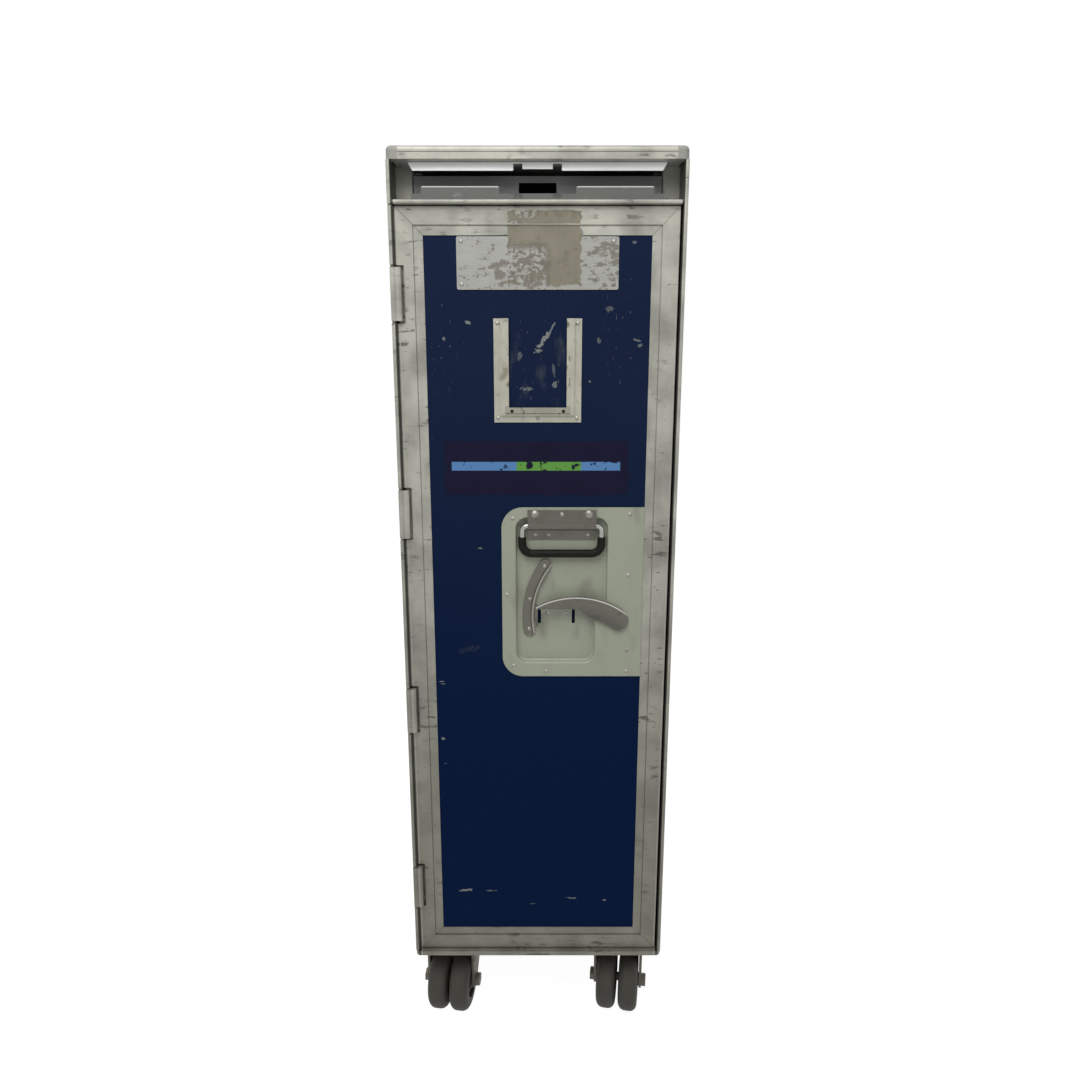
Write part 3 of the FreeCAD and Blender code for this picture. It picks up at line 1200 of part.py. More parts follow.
def bail_rod():
    """A closed loop of round rod: its upper bar turns in the bracket."""
    radius, bend = "sizes.bail_rod_radius", "sizes.bail_top_bend"
    left, right = "places.bail_middle - sizes.bail_half", "places.bail_middle + sizes.bail_half"
    leg_top = f"places.bail_axis_z - {bend}"
    axle = rod(radius, "x", f"{left} + {bend}", f"{right} - {bend}", ("places.bail_y", "places.bail_axis_z"))
    bends = [quarter_ring(bend, radius, (f"{left} + {bend}", leg_top), 90),
             quarter_ring(bend, radius, (f"{right} - {bend}", leg_top), 0)]
    return fuse(axle, *bends, *bail_u(radius, leg_top))


def bail_grip():
    """A sleeve over the lower part of the loop."""
    top = "places.bail_axis_z - sizes.grip_start"
    return cut(fuse(*bail_u("sizes.grip_radius", top)),
               fuse(*bail_u("sizes.bail_rod_radius + sizes.fixed_fit", top)))


node("bail_rod", bail_rod())
node("bail_grip", bail_grip())


# ---------------------------------------------------------------- casters

CASTERS = {
    "front_left": ("-places.caster_x", "-places.caster_y", "sizes.turn_front_left"),
    "front_right": ("places.caster_x", "-places.caster_y", "sizes.turn_front_right"),
    "rear_left": ("-places.caster_x", "places.caster_y", "sizes.turn_rear_left"),
    "rear_right": ("places.caster_x", "places.caster_y", "sizes.turn_rear_right"),
}
AXLE = ("-sizes.caster_trail", "sizes.wheel_radius")


def stand(piece, corner):
    """Moves a piece from the caster's own axis to a corner of the cart and turns it there."""
    x, y, turn = CASTERS[corner]
    piece.Placement = Placement(Vector(), Rotation(Vector(0, 0, -1), 10))
    piece.setExpression("Placement.Base.x", x)
    piece.setExpression("Placement.Base.y", y)
    piece.setExpression("Placement.Rotation.Angle", turn)
    return piece


def caster_plates():
    """Four bolted plates, each with the cup of the swivel race below it."""
    plates = []
    for x, y, _ in CASTERS.values():
        body = new_body("caster_plate")
        half = "sizes.caster_plate_half"
        u, v = (f"{x} - {half}", f"{x} + {half}"), (f"{y} - {half}", f"{y} + {half}")
        pad(body, "XY", "places.caster_plate_under", "sizes.underside", rectangle(u, v))
        round_edges(body, "sizes.caster_plate_round", "z", [(a, b) for a in u for b in v])
        cup = rod("sizes.race_radius", "z", "places.race_low", "places.caster_plate_under", (x, y))
        holes = [rod("sizes.kingpin_radius + sizes.running_fit", "z", "places.race_low",
                     "sizes.underside", (x, y))]
        holes += [rod("sizes.caster_bolt_radius + sizes.fixed_fit", "z", "places.caster_plate_under",
                      "sizes.underside", (f"{x} + {a} * sizes.caster_bolt_spacing",
                                          f"{y} + {b} * sizes.caster_bolt_spacing"))
                  for a in (-1, 1) for b in (-1, 1)]
        plates.append(cut(fuse(body, cup), fuse(*holes)))
    return together("caster_plates", *plates)


def caster_bolts():
    """Sixteen bolts up through the plates and the base tray."""
    bolts = []
    for spot in caster_bolt_spots():
        head = rod("sizes.caster_bolt_head", "z",
                   "places.caster_plate_under - sizes.caster_bolt_head_height",
                   "places.caster_plate_under", spot)
        shank = rod("sizes.caster_bolt_radius", "z", "places.caster_plate_under", "places.base_top", spot)
        bolts.append(fuse(head, shank))
    return together("caster_bolts", *bolts)


def caster_fork(corner):
    """A folded yoke with tapering legs, a seat under the race and a kingpin."""
    crown = new_body("fork_crown")
    u = ("-places.leg_outer", "places.leg_outer")
    v = ("-sizes.fork_front", "sizes.fork_back")
    pad(crown, "XY", "places.fork_under", "places.fork_top", rectangle(u, v))
    pieces = [crown]
    for low, high in (("-places.leg_outer", "-places.leg_inner"), ("places.leg_inner", "places.leg_outer")):
        leg = new_body("fork_leg")
        pad(leg, "YZ", low, high, [
            ("-sizes.fork_front", "places.fork_under"), ("-sizes.caster_trail - sizes.boss_half", AXLE[1]),
            ("-sizes.caster_trail + sizes.boss_half", AXLE[1]), ("sizes.fork_back", "places.fork_under"),
        ])
        pieces += [leg, rod("sizes.boss_half", "x", low, high, AXLE)]
    centre = ("0", "0")
    pieces.append(rod("sizes.race_radius", "z", "places.fork_top", "places.race_low - sizes.race_gap",
                      centre))
    pieces.append(rod("sizes.kingpin_radius", "z", "places.fork_top",
                      "sizes.underside - sizes.kingpin_gap", centre))
    bore = rod("sizes.axle_radius + sizes.fixed_fit", "x", "-places.leg_outer", "places.leg_outer", AXLE)
    return stand(cut(fuse(*pieces), bore), corner)


def caster_axle(corner):
    """A bolt across the fork with a nut at each end and washers that keep the wheels off the legs."""
    pieces = [rod("sizes.axle_radius", "x", "-places.axle_end", "places.axle_end", AXLE),
              hexagon("sizes.axle_nut_radius", "x", "-places.axle_end", "-places.leg_outer", AXLE),
              hexagon("sizes.axle_nut_radius", "x", "places.leg_outer", "places.axle_end", AXLE),
              rod("sizes.axle_nut_radius", "x", "-places.leg_inner",
                  "-places.wheel_outer - sizes.washer_gap", AXLE),
              rod("sizes.axle_nut_radius", "x", "places.wheel_outer + sizes.washer_gap",
                  "places.leg_inner", AXLE)]
    return stand(fuse(*pieces), corner)


def caster_wheel(corner, low, high):
    """A solid wheel with a rounded tread and a dish on each side round its hub."""
    tread = rod("sizes.wheel_radius", "x", low, high, AXLE)
    doc.recompute()
    rounded = doc.addObject("Part::Fillet", "tread")
    rounded.Base = tread
    radius = number("sizes.wheel_round")
    rounded.Edges = [(index, radius, radius) for index, edge in enumerate(tread.Shape.Edges, start=1)
                     if edge.BoundBox.XLength < 0.01]
    dishes = [cut(rod("sizes.wheel_dish_radius", "x", a, b, AXLE),
                  rod("sizes.wheel_hub_radius", "x", a, b, AXLE))
              for a, b in ((low, f"{low} + sizes.wheel_dish"), (f"{high} - sizes.wheel_dish", high))]
    bore = rod("sizes.axle_radius + sizes.running_fit", "x", low, high, AXLE)
    return stand(cut(rounded, fuse(*dishes, bore)), corner)


node("caster_plates", caster_plates())
node("caster_bolts", caster_bolts())
for place in CASTERS:
    node(f"caster_fork_{place}", caster_fork(place))
    node(f"caster_axle_{place}", caster_axle(place))
    node(f"wheel_{place}_a", caster_wheel(place, "-places.wheel_outer", "-sizes.wheel_spacing / 2"))
    node(f"wheel_{place}_b", caster_wheel(place, "sizes.wheel_spacing / 2", "places.wheel_outer"))


# ---------------------------------------------------------------- checks and export

def check(piece):
    """Stops with a plain message when a sub-part failed to build."""
    shape = piece.Shape
    if shape.isNull() or not shape.isValid() or not shape.Solids:
        raise RuntimeError(f"{piece.Label} has no valid solid")


doc.recompute()
for thing in doc.Objects:
    if "Invalid" in thing.State or "Error" in thing.State:
        raise RuntimeError(f"{thing.Label} failed to build: {thing.State}")
os.makedirs("parts", exist_ok=True)
for piece in NODES:
    check(piece)
    piece.Shape.exportStep(f"parts/{piece.Label}.step")
print(f"{len(NODES)} sub-parts, {sum(len(piece.Shape.Solids) for piece in NODES)} solids")
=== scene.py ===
# %% [markdown]
# # A galley cart from an airliner
# The hard parts of the cart, its posts, door, latch and casters, come from the CAD model as a fixed
# frame. This file gives every one of them its finish, adds the thin worn things that live on the
# surface, such as tape and film, and sets up the studio. Lengths are in metres: x runs to the right
# across the door, y from the door into the cart, and z up. Colours are linear red, green and blue.

# %% Load the frame and measure it
import json
import math

import bpy
import numpy as np
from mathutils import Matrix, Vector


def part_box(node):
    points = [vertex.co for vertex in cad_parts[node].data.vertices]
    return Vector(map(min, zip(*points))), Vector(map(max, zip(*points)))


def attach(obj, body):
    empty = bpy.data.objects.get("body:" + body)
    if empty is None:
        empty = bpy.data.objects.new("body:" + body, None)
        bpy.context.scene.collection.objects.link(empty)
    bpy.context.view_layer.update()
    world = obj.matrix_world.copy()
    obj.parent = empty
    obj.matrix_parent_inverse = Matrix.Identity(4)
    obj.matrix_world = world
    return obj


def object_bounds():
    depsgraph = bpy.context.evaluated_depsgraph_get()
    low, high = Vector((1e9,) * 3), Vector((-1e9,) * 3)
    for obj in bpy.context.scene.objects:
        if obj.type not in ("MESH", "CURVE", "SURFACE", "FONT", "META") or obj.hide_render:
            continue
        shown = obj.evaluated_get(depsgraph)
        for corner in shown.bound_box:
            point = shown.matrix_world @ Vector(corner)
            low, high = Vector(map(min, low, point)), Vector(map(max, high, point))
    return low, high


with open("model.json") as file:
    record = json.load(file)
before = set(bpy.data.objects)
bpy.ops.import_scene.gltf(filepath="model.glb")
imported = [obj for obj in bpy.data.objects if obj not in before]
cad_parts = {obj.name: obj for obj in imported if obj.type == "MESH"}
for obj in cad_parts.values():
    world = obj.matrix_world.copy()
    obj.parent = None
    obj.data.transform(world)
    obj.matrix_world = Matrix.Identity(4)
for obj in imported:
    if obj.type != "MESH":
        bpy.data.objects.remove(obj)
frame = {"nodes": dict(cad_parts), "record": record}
cad_low, cad_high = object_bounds()
print("CAD box", [round(value, 4) for value in (*cad_low, *cad_high)])

# %% [markdown]
# ## Camera
# The cart is seen from close by, a little above its middle and tilted down, so its upright edges lean
# together towards the floor. A short lens near the object gives that. A shift lens would keep the edges
# parallel, which is wrong here.

# %% Stand the camera in front of the door
lens_mm = 25.57
aside, distance, eye_height = 0.0024, 0.821, 0.807
tilt_down = math.radians(12.1)

camera_data = bpy.data.cameras.new("camera")
camera_data.lens = lens_mm
camera_data.clip_start = 0.02
camera = bpy.data.objects.new("camera", camera_data)
bpy.context.scene.collection.objects.link(camera)
camera.location = (aside, cad_low.y - distance, eye_height)
camera.rotation_euler = (math.radians(90) - tilt_down, 0, 0)
bpy.context.scene.camera = camera
print("camera", lens_mm, "mm,", distance, "m before the door")

# %% [markdown]
# ## Shader maths as plain Python
# A worn surface is a stack of masks: where it is scratched, where dirt gathers, where a hand rubs.
# Written node by node that gets long, so a small class wraps one socket and lets Python's operators
# add the Math nodes. `1 - mask` and `mask * 0.5` then read as they do on paper, and `one | other` is
# the larger of two masks.

# %% A socket that can be added and multiplied
class Mask:
    """One number or colour that varies over a surface."""

    def __init__(self, finish, socket):
        self.finish = finish
        self.socket = socket

    def maths(self, operation, first, second):
        return self.finish.node("ShaderNodeMath", {"operation": operation}, {0: first, 1: second})

    def __add__(self, other):
        return self.maths("ADD", self, other)

    def __sub__(self, other):
        return self.maths("SUBTRACT", self, other)

    def __mul__(self, other):
        return self.maths("MULTIPLY", self, other)

    def __rsub__(self, other):
        return self.maths("SUBTRACT", other, self)

    def __abs__(self):
        return self.maths("ABSOLUTE", self, 0.0)

    def __or__(self, other):
        return self.maths("MAXIMUM", self, other)

    def root(self):
        return self.maths("SQRT", self, 0.0)

    __radd__ = __add__
    __rmul__ = __mul__


# %% A finish: one material with the node types this cart needs
class Finish:
    """A node material on the cart's own coordinates, in metres."""

    def __init__(self, name, roughness=0.5, metallic=0.0):
        self.material = bpy.data.materials.new(name)
        self.material.use_nodes = True
        self.tree = self.material.node_tree
        self.shader = self.tree.nodes["Principled BSDF"]
        self.fixed("Roughness", roughness)
        self.fixed("Metallic", metallic)
        self.place = self.node("ShaderNodeTexCoord", {}, {}, "Object")

    def node(self, kind, settings, inputs, output=0):
        made = self.tree.nodes.new(kind)
        for key, value in settings.items():
            setattr(made, key, value)
        for key, value in inputs.items():
            if isinstance(value, Mask):
                self.tree.links.new(value.socket, made.inputs[key])
            else:
                made.inputs[key].default_value = value
        return Mask(self, made.outputs[output])

    def axis(self, letter):
        return self.node("ShaderNodeSeparateXYZ", {}, {0: self.place}, letter)

    def noise(self, scale, stretch=(1, 1, 1), detail=4.0, shift=(0, 0, 0)):
        """Cloudy values round 0.5; stretch below 1 along an axis draws them out into streaks."""
        spot = self.node("ShaderNodeMapping", {},
                         {"Vector": self.place, "Scale": stretch, "Location": shift})
        return self.node("ShaderNodeTexNoise", {}, {"Vector": spot, "Scale": scale, "Detail": detail})

    def rings(self, distance, scale):
        """Fine lines of equal distance, such as brushing round a curve."""
        return self.node("ShaderNodeTexNoise", {"noise_dimensions": "1D"},
                         {"W": distance, "Scale": scale, "Detail": 3.0})

    def ramp(self, value, low, high):
        """0 below low, 1 above high and a smooth step between them; low above high turns it round."""
        return self.node("ShaderNodeMapRange", {"interpolation_type": "SMOOTHSTEP"},
                         {"Value": value, "From Min": low, "From Max": high})

    def line(self, value, centre, outer, inner):
        """1 where |value - centre| is below inner, 0 where it is above outer."""
        return self.ramp(abs(value - centre), outer, inner)

    def patch(self, x, z, half_x, half_z):
        """1 at a place on the front, falling to 0 at ((X - x) / half_x)² + ((Z - z) / half_z)² = 1."""
        u = (self.axis("X") - x) * (1 / half_x)
        v = (self.axis("Z") - z) * (1 / half_z)
        return self.ramp(u * u + v * v, 1.0, 0.25)

    def reach(self, x, z):
        """Distance from a point on the front, √((X - x)² + (Z - z)²)."""
        u, v = self.axis("X") - x, self.axis("Z") - z
        return (u * u + v * v).root()

    def stroke(self, x, z, length, width, turn, rough):
        """1 on a short ragged scratch, an ellipse at an angle in degrees with a noise on its edge:

        (2 along / length)² + (2 across / width)² + rough < 1.
        """
        cosine, sine = math.cos(math.radians(turn)), math.sin(math.radians(turn))
        right, up = self.axis("X") - x, self.axis("Z") - z
        along = (right * cosine + up * sine) * (2 / length)
        across = (up * cosine - right * sine) * (2 / width)
        return self.ramp(along * along + across * across + rough, 1.0, 0.7)

    def blend(self, amount, first, second):
        first, second = ((*c, 1.0) if isinstance(c, tuple) else c for c in (first, second))
        return self.node("ShaderNodeMix", {"data_type": "RGBA"}, {0: amount, 6: first, 7: second}, 2)

    def fixed(self, name, value):
        self.shader.inputs[name].default_value = value

    def feed(self, name, value):
        self.tree.links.new(value.socket, self.shader.inputs[name])

    def colour(self, value):
        self.feed("Base Color", value)

    def relief(self, height, depth):
        bump = self.node("ShaderNodeBump", {}, {"Height": height, "Distance": depth, "Strength": 1.0})
        self.feed("Normal", bump)


# %% [markdown]
# ## Studio
# The background is plain white. A white room that only lit the object would wash it out, so camera
# and mirror rays see white while the light that falls on the cart comes from three soft lamps and a
# dim grey world.

# %% World
def seen_directly(tree):
    """1 for a ray that comes from the camera, through something clear or off something glossy."""
    rays = tree.nodes.new("ShaderNodeLightPath")
    seen = rays.outputs["Is Camera Ray"]
    for kind in ("Is Transmission Ray", "Is Glossy Ray"):
        either = tree.nodes.new("ShaderNodeMath")
        either.operation = "MAXIMUM"
        tree.links.new(seen, either.inputs[0])
        tree.links.new(rays.outputs[kind], either.inputs[1])
        seen = either.outputs[0]
    return seen


dim_grey, white = (0.22, 0.22, 0.216, 1), (1, 1, 1, 1)
world = bpy.data.worlds.new("studio")
bpy.context.scene.world = world
world.use_nodes = True
room = world.node_tree
level = room.nodes.new("ShaderNodeMix")
level.data_type = "RGBA"
level.inputs[6].default_value = dim_grey
level.inputs[7].default_value = white
room.links.new(seen_directly(room), level.inputs[0])
room.links.new(level.outputs[2], room.nodes["Background"].inputs["Color"])


# %% Lamps
def lamp(name, place, target, width, power, colour):
    """A square soft lamp at a place that faces a target, its width in metres and its power in watts."""
    light = bpy.data.lights.new(name, "AREA")
    light.size = width
    light.energy = power
    light.color = colour
    stand = bpy.data.objects.new(name, light)
    stand.location = place
    toward = np.array(target) - np.array(place)
    stand.rotation_euler = (math.acos(-toward[2] / np.linalg.norm(toward)), 0,
                            math.atan2(-toward[0], toward[1]))
    bpy.context.scene.collection.objects.link(stand)


lamp("ceiling", (-0.3, -1.1, 2.0), (0, -0.2, 0.85), 1.1, 21, (1.0, 0.995, 0.97))
lamp("fill", (1.5, -1.6, 1.0), (0, 0, 0.6), 1.2, 3, (1.0, 0.98, 0.95))
lamp("behind", (-0.6, 1.8, 1.9), (0, 0, 0.7), 1.4, 14, (1, 1, 1))

# %% A white floor that keeps the cart's shadow
glow_strength, glow_share = 1.27, 0.75

floor_finish = Finish("white_floor", roughness=0.9)
floor_finish.fixed("Base Color", (0.92, 0.92, 0.915, 1))
floor_tree = floor_finish.tree
glow = floor_tree.nodes.new("ShaderNodeEmission")
glow.inputs["Strength"].default_value = glow_strength
share = Mask(floor_finish, seen_directly(floor_tree)) * glow_share
both = floor_tree.nodes.new("ShaderNodeMixShader")
floor_tree.links.new(share.socket, both.inputs[0])
floor_tree.links.new(floor_finish.shader.outputs[0], both.inputs[1])
floor_tree.links.new(glow.outputs[0], both.inputs[2])
floor_tree.links.new(both.outputs[0], floor_tree.nodes["Material Output"].inputs["Surface"])


def grid_mesh(name, points, material):
    """A mesh from an array of shape (rows, columns, 3): each square of neighbours is one face."""
    rows, columns = points.shape[:2]
    index = np.arange(rows * columns).reshape(rows, columns)
    faces = np.stack([index[:-1, :-1], index[:-1, 1:], index[1:, 1:], index[1:, :-1]], axis=-1)
    mesh = bpy.data.meshes.new(name)
    mesh.from_pydata(points.reshape(-1, 3).tolist(), [], faces.reshape(-1, 4).tolist())
    mesh.materials.append(material)
    mesh.shade_smooth()
    piece = bpy.data.objects.new(name, mesh)
    bpy.context.scene.collection.objects.link(piece)
    return piece


floor_reach = np.linspace(-6, 6, 5)
floor_x, floor_y = np.meshgrid(floor_reach, floor_reach)
floor = grid_mesh("floor", np.stack([floor_x, floor_y, 0 * floor_x], axis=-1), floor_finish.material)
print("studio ready")

# %% [markdown]
# ## Worn aluminium
# The frame of a cart is bare extruded aluminium. It is drawn through a die, so fine lines run along
# each bar, and years of bumping in and out of stowages leave dark rubber scuffs, dents and a film of
# grime. Towards the floor the bars darken, partly with floor dirt and partly as painted shading of the
# light that fades downwards. A painted texture would need every bar unwrapped first. Noise on the
# cart's own coordinates needs no unwrapping, and stretched along one axis it draws the lines. They have
# to follow each bar, so one function makes a finish for bars along any axis. The door's frame shows its
# mitres as thin lines, the gap beside the door is a painted shadow, and the door's rounded outer edge
# carries a thin painted highlight.

# %% Measure the door's frame
door_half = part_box("door_stile_latch")[1].x
door_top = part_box("door_rail_top")[1].z
door_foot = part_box("door_rail_bottom")[0].z
frame_width = door_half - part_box("door_panel")[1].x
print("door", round(door_half * 2000), "mm wide, frame", round(frame_width * 1000, 1), "mm")


# %% Where the door's frame is mitred
def mitre_lines(finish):
    """1 on four slanted lines: distance to the side = distance to the top, or to the foot, of the door."""
    side = door_half - abs(finish.axis("X"))
    height = finish.axis("Z")
    on_frame = finish.line(side, frame_width / 2, frame_width / 2 + 0.0004, frame_width / 2)
    top = finish.line(side + height, door_top, 0.0011, 0.0001)
    foot = finish.line(height - side, door_foot, 0.0011, 0.0001)
    return (top | foot) * on_frame


# %% Aluminium bars with streaks along their length
def bar_finish(name, along, wear_and_gap_shade=1.0):
    """Bare aluminium: fine die lines along one axis, dark scuffs across it, soft grime, a darker foot that is
    partly painted shading, a painted highlight on the door's rounded edge and a painted shadow in the gap
    beside it.

    The last argument is 1 on a long bar and near 0 on a small block that nothing rubs against; it scales the
    scuffs, the nicks, the dark mitre lines and the painted shadow in the gap.
    """
    plain = (0.345, 0.343, 0.305)
    dark = tuple(c * 0.66 for c in plain)
    light = tuple(c * 1.35 for c in plain)
    # Colour towards the floor: partly floor dirt, partly painted shading of the light that fades downwards.
    floor_dirt_and_shade = (0.105, 0.097, 0.068)
    rubber_black = (0.075, 0.072, 0.06)
    nick_grey = (0.05, 0.047, 0.04)
    # Painted shadow in the gap beside the door.
    gap_shadow = (0.018, 0.017, 0.014)
    fine = tuple(0.03 if letter == along else 1.0 for letter in "XYZ")
    long = tuple(0.18 if letter == along else 1.0 for letter in "XYZ")

    finish = Finish(name, metallic=0.35)
    lines = finish.noise(900, stretch=fine, detail=2.0)
    clouds = finish.noise(28, detail=6.0)
    streaks = finish.ramp(finish.noise(120, stretch=long, detail=6.0, shift=(3, 0, 0)), 0.50, 0.80)
    where = finish.ramp(finish.noise(17, shift=(0, 7, 0)), 0.50, 0.64)
    rubs = finish.noise(190, stretch=(0.3, 0.3, 1), detail=9.0, shift=(5, 1, 5))
    rubs = finish.ramp(rubs, 0.56, 0.63) * where
    nicks = finish.noise(360, stretch=(0.3, 0.3, 1), detail=5.0, shift=(5, 5, 5))
    nicks = finish.ramp(nicks, 0.67, 0.71)
    near_floor = finish.ramp(finish.axis("Z"), 0.70, 0.22)

    base = finish.blend(finish.ramp(clouds, 0.25, 0.75), dark, light)
    base = finish.blend(lines * 0.3, base, light)
    # Darker towards the floor: floor dirt and painted shading together.
    base = finish.blend(near_floor * 0.62, base, floor_dirt_and_shade)
    base = finish.blend(streaks * 0.35, base, dark)
    base = finish.blend(rubs * (0.75 * wear_and_gap_shade), base, rubber_black)
    base = finish.blend(nicks * (0.7 * wear_and_gap_shade), base, nick_grey)

    front = finish.ramp(finish.axis("Y"), cad_low.y + 0.034, cad_low.y + 0.030)
    beside = abs(finish.axis("X")) - door_half
    gap = finish.line(beside, 0.0016, 0.0016, 0.0008)
    # A painted highlight along the door's rounded outer edge.
    rim_highlight = finish.line(beside, -0.0011, 0.0009, 0.0003) * front
    # Dark mitre joints and the painted shadow in the gap beside the door.
    seam = (mitre_lines(finish) * 0.42 | (gap * 0.9)) * front * wear_and_gap_shade
    base = finish.blend(rim_highlight * 0.55, base, light)
    base = finish.blend(seam, base, gap_shadow)
    finish.colour(base)
    finish.feed("Roughness", 0.36 + clouds * 0.22 + rubs * 0.2)
    finish.relief(lines * 0.4 - rubs - seam, 0.00008)
    return finish.material


# %% [markdown]
# ## Painted and laminate faces
# The door's panel is a navy laminate with a fine orange-peel grain. Cards pushed into the holder and
# passing trolleys have chipped it white in a few places. Noise alone would scratch the whole door
# evenly, so the larger scratches are listed one by one as ragged ellipses, and the fine ones gathered
# in soft patches. The plate behind the lever is painted, and the walls are a plain pale laminate.

# %% Where the laminate is scratched: x and z, length and width in mm, turn in degrees, strength
navy_marks = (
    (5, 842, 27, 5, 56, 0.9), (13, 852, 18, 2.6, 62, 0.7), (0, 832, 9, 4, 20, 0.6),
    (-19, 827, 8, 5, 80, 0.35), (-10, 793, 10, 4, 5, 0.6), (-17, 794, 5, 2.4, 20, 0.5),
    (18, 797, 5, 7, 0, 0.6), (17, 812, 3, 16, 8, 0.35), (-98, 844, 4, 4.5, 0, 0.8),
    (-73, 861, 5, 3.5, -30, 0.8), (74, 874, 9, 5, 10, 0.35), (64, 843, 4, 6, 0, 0.4),
    (104, 843, 7, 3, -20, 0.55), (107, 838, 5, 3.5, 10, 0.6), (55, 801, 3, 3, 0, 0.6),
    (99, 940, 4, 3, 0, 0.5), (-65, 620, 6, 1.5, 0, 0.8), (-111, 463, 6, 1.2, 4, 0.9),
    (-109, 460, 5, 1.1, -6, 0.7), (-111, 392, 5, 3, -20, 0.8), (-109, 360, 3.5, 1.2, 0, 0.5),
    (-88, 191, 17, 3.4, 4, 0.8), (-58, 190, 12, 1.7, 2, 0.6), (41, 180, 11, 1.9, -3, 0.75),
    (81, 177, 4.5, 2.2, -8, 0.7), (-7, 172, 8, 1.6, 4, 0.35), (-78, 502, 24, 7, 12, 0.06),
)
print(len(navy_marks), "marks on the laminate")


# %% Navy laminate with white scratches
def navy_laminate():
    """Navy skin that shows its pale core: pale = the largest of strength × stroke over all marks."""
    deep, bright = (0.0085, 0.0165, 0.046), (0.0115, 0.0205, 0.057)
    in_shade = (0.0022, 0.0115, 0.052)
    core = (0.25, 0.27, 0.265)

    finish = Finish("navy_laminate")
    grain = finish.noise(1400, detail=2.0)
    clouds = finish.noise(7)
    low = finish.ramp(finish.axis("Z"), 0.85, 0.30)
    base = finish.blend(clouds, deep, bright)
    base = finish.blend(low * 0.9, base, in_shade)

    fray = finish.noise(420, detail=6.0) - 0.5
    blur = finish.noise(190, detail=5.0, shift=(3, 3, 3)) - 0.5
    rough = (fray + blur) * 4.2
    pale = 0.0
    for *sizes_mm, turn, strength in navy_marks:
        mark = finish.stroke(*(size / 1000 for size in sizes_mm), turn, rough)
        pale = (mark * strength) | pale
    smears = finish.noise(60, stretch=(1, 1, 0.5), detail=7.0, shift=(7, 0, 3))
    smears = finish.ramp(smears, 0.54, 0.72)
    scratches = finish.noise(420, stretch=(1, 1, 0.4), detail=7.0, shift=(9, 0, 4))
    scratches = finish.ramp(scratches, 0.66, 0.71)
    behind_cards = finish.patch(0.004, 0.815, 0.045, 0.07)
    worn = behind_cards | finish.patch(-0.10, 0.84, 0.03, 0.06) | finish.patch(0.09, 0.85, 0.03, 0.07)
    pale = pale | (scratches * (worn * 0.3 + 0.03)) | (smears * behind_cards * 0.14)

    finish.colour(finish.blend(pale, base, core))
    finish.fixed("Specular IOR Level", 0.02)
    finish.feed("Roughness", 0.42 + clouds * 0.14 + pale * 0.3)
    finish.relief(grain * 0.4 - pale * 0.8, 0.0001)
    return finish.material


# %% Grey-green paint of the latch plate
def latch_paint():
    """Paint with grime in noisy patches and a painted shadow under the lever."""
    finish = Finish("latch_paint")
    clouds = finish.noise(22)
    grime = finish.noise(60, stretch=(1, 1, 0.35), detail=6.0, shift=(1, 2, 3))
    # Painted shadow under the lever.
    lever_shadow = finish.patch(0.028, 0.552, 0.075, 0.05)
    # Grime from noise plus the painted shadow under the lever, as one mask.
    grime_and_shadow = finish.ramp(grime + lever_shadow * 0.14, 0.52, 0.86)
    nicks = finish.ramp(finish.noise(260, shift=(0, 4, 0)), 0.69, 0.73)
    base = finish.blend(clouds, (0.32, 0.347, 0.272), (0.39, 0.415, 0.33))
    base = finish.blend(grime_and_shadow * 0.42, base, (0.12, 0.12, 0.095))
    base = finish.blend(nicks * 0.5, base, (0.14, 0.14, 0.12))
    finish.colour(base)
    finish.feed("Roughness", 0.32 + clouds * 0.2 + grime_and_shadow * 0.2)
    finish.relief(finish.noise(700, detail=2.0), 0.00005)
    return finish.material


# %% Pale laminate of the walls and the top
def pale_laminate(name, light, dark):
    """Smooth laminate between two close greys, with rubs drawn along y and a stained foot."""
    finish = Finish(name)
    clouds = finish.noise(6, detail=5.0)
    rubs = finish.noise(90, stretch=(1, 0.15, 1), detail=6.0, shift=(2, 2, 2))
    where = finish.ramp(finish.noise(5, detail=3.0, shift=(8, 0, 0)), 0.48, 0.62)
    low = finish.ramp(finish.axis("Z"), 0.30, 0.12)
    base = finish.blend(clouds, dark, light)
    base = finish.blend(finish.ramp(rubs, 0.66, 0.72) * where * 0.6, base, (0.18, 0.18, 0.17))
    base = finish.blend(low * 0.3, base, (0.30, 0.29, 0.26))
    finish.colour(base)
    finish.feed("Roughness", 0.38 + clouds * 0.2)
    finish.relief(finish.noise(1200, detail=2.0), 0.00005)
    return finish.material


# %% [markdown]
# ## Sheet metal and small hardware
# Stainless steel on the door is brushed and rubbed by hands. The handle's rod is bright drawn steel,
# and the casters are zinc plated and dull with floor dirt. All three are metals, and differ in the
# length of their scratches and in how much dirt they hold, so they share one function.

# %% Brushed and plated metals
def metal(name, colour, stretch, rough, dirt):
    """A metal with brush lines drawn along an axis and dirt in soft patches."""
    finish = Finish(name, metallic=0.9)
    lines = finish.noise(1100, stretch=stretch, detail=3.0)
    clouds = finish.noise(45, detail=5.0, shift=(3, 1, 2))
    soil = finish.ramp(clouds, 0.52, 0.72) * dirt
    dark = tuple(c * 0.7 for c in colour)
    base = finish.blend(lines, dark, colour)
    base = finish.blend(soil, base, (0.10, 0.085, 0.065))
    finish.colour(base)
    finish.feed("Metallic", 0.92 - soil * 0.5)
    finish.feed("Roughness", rough + lines * 0.12 + soil * 0.4)
    finish.relief(lines, 0.00003)
    return finish.material


# %% [markdown]
# ## Rubber and moulded plastic
# The handle's grip, the door's seal and the caps on the top corners are moulded. They have no direction
# and no edges to speak of, so an even grain in the relief and some pale dust are enough. Less gloss on
# the black grip keeps it from mirroring the white room.

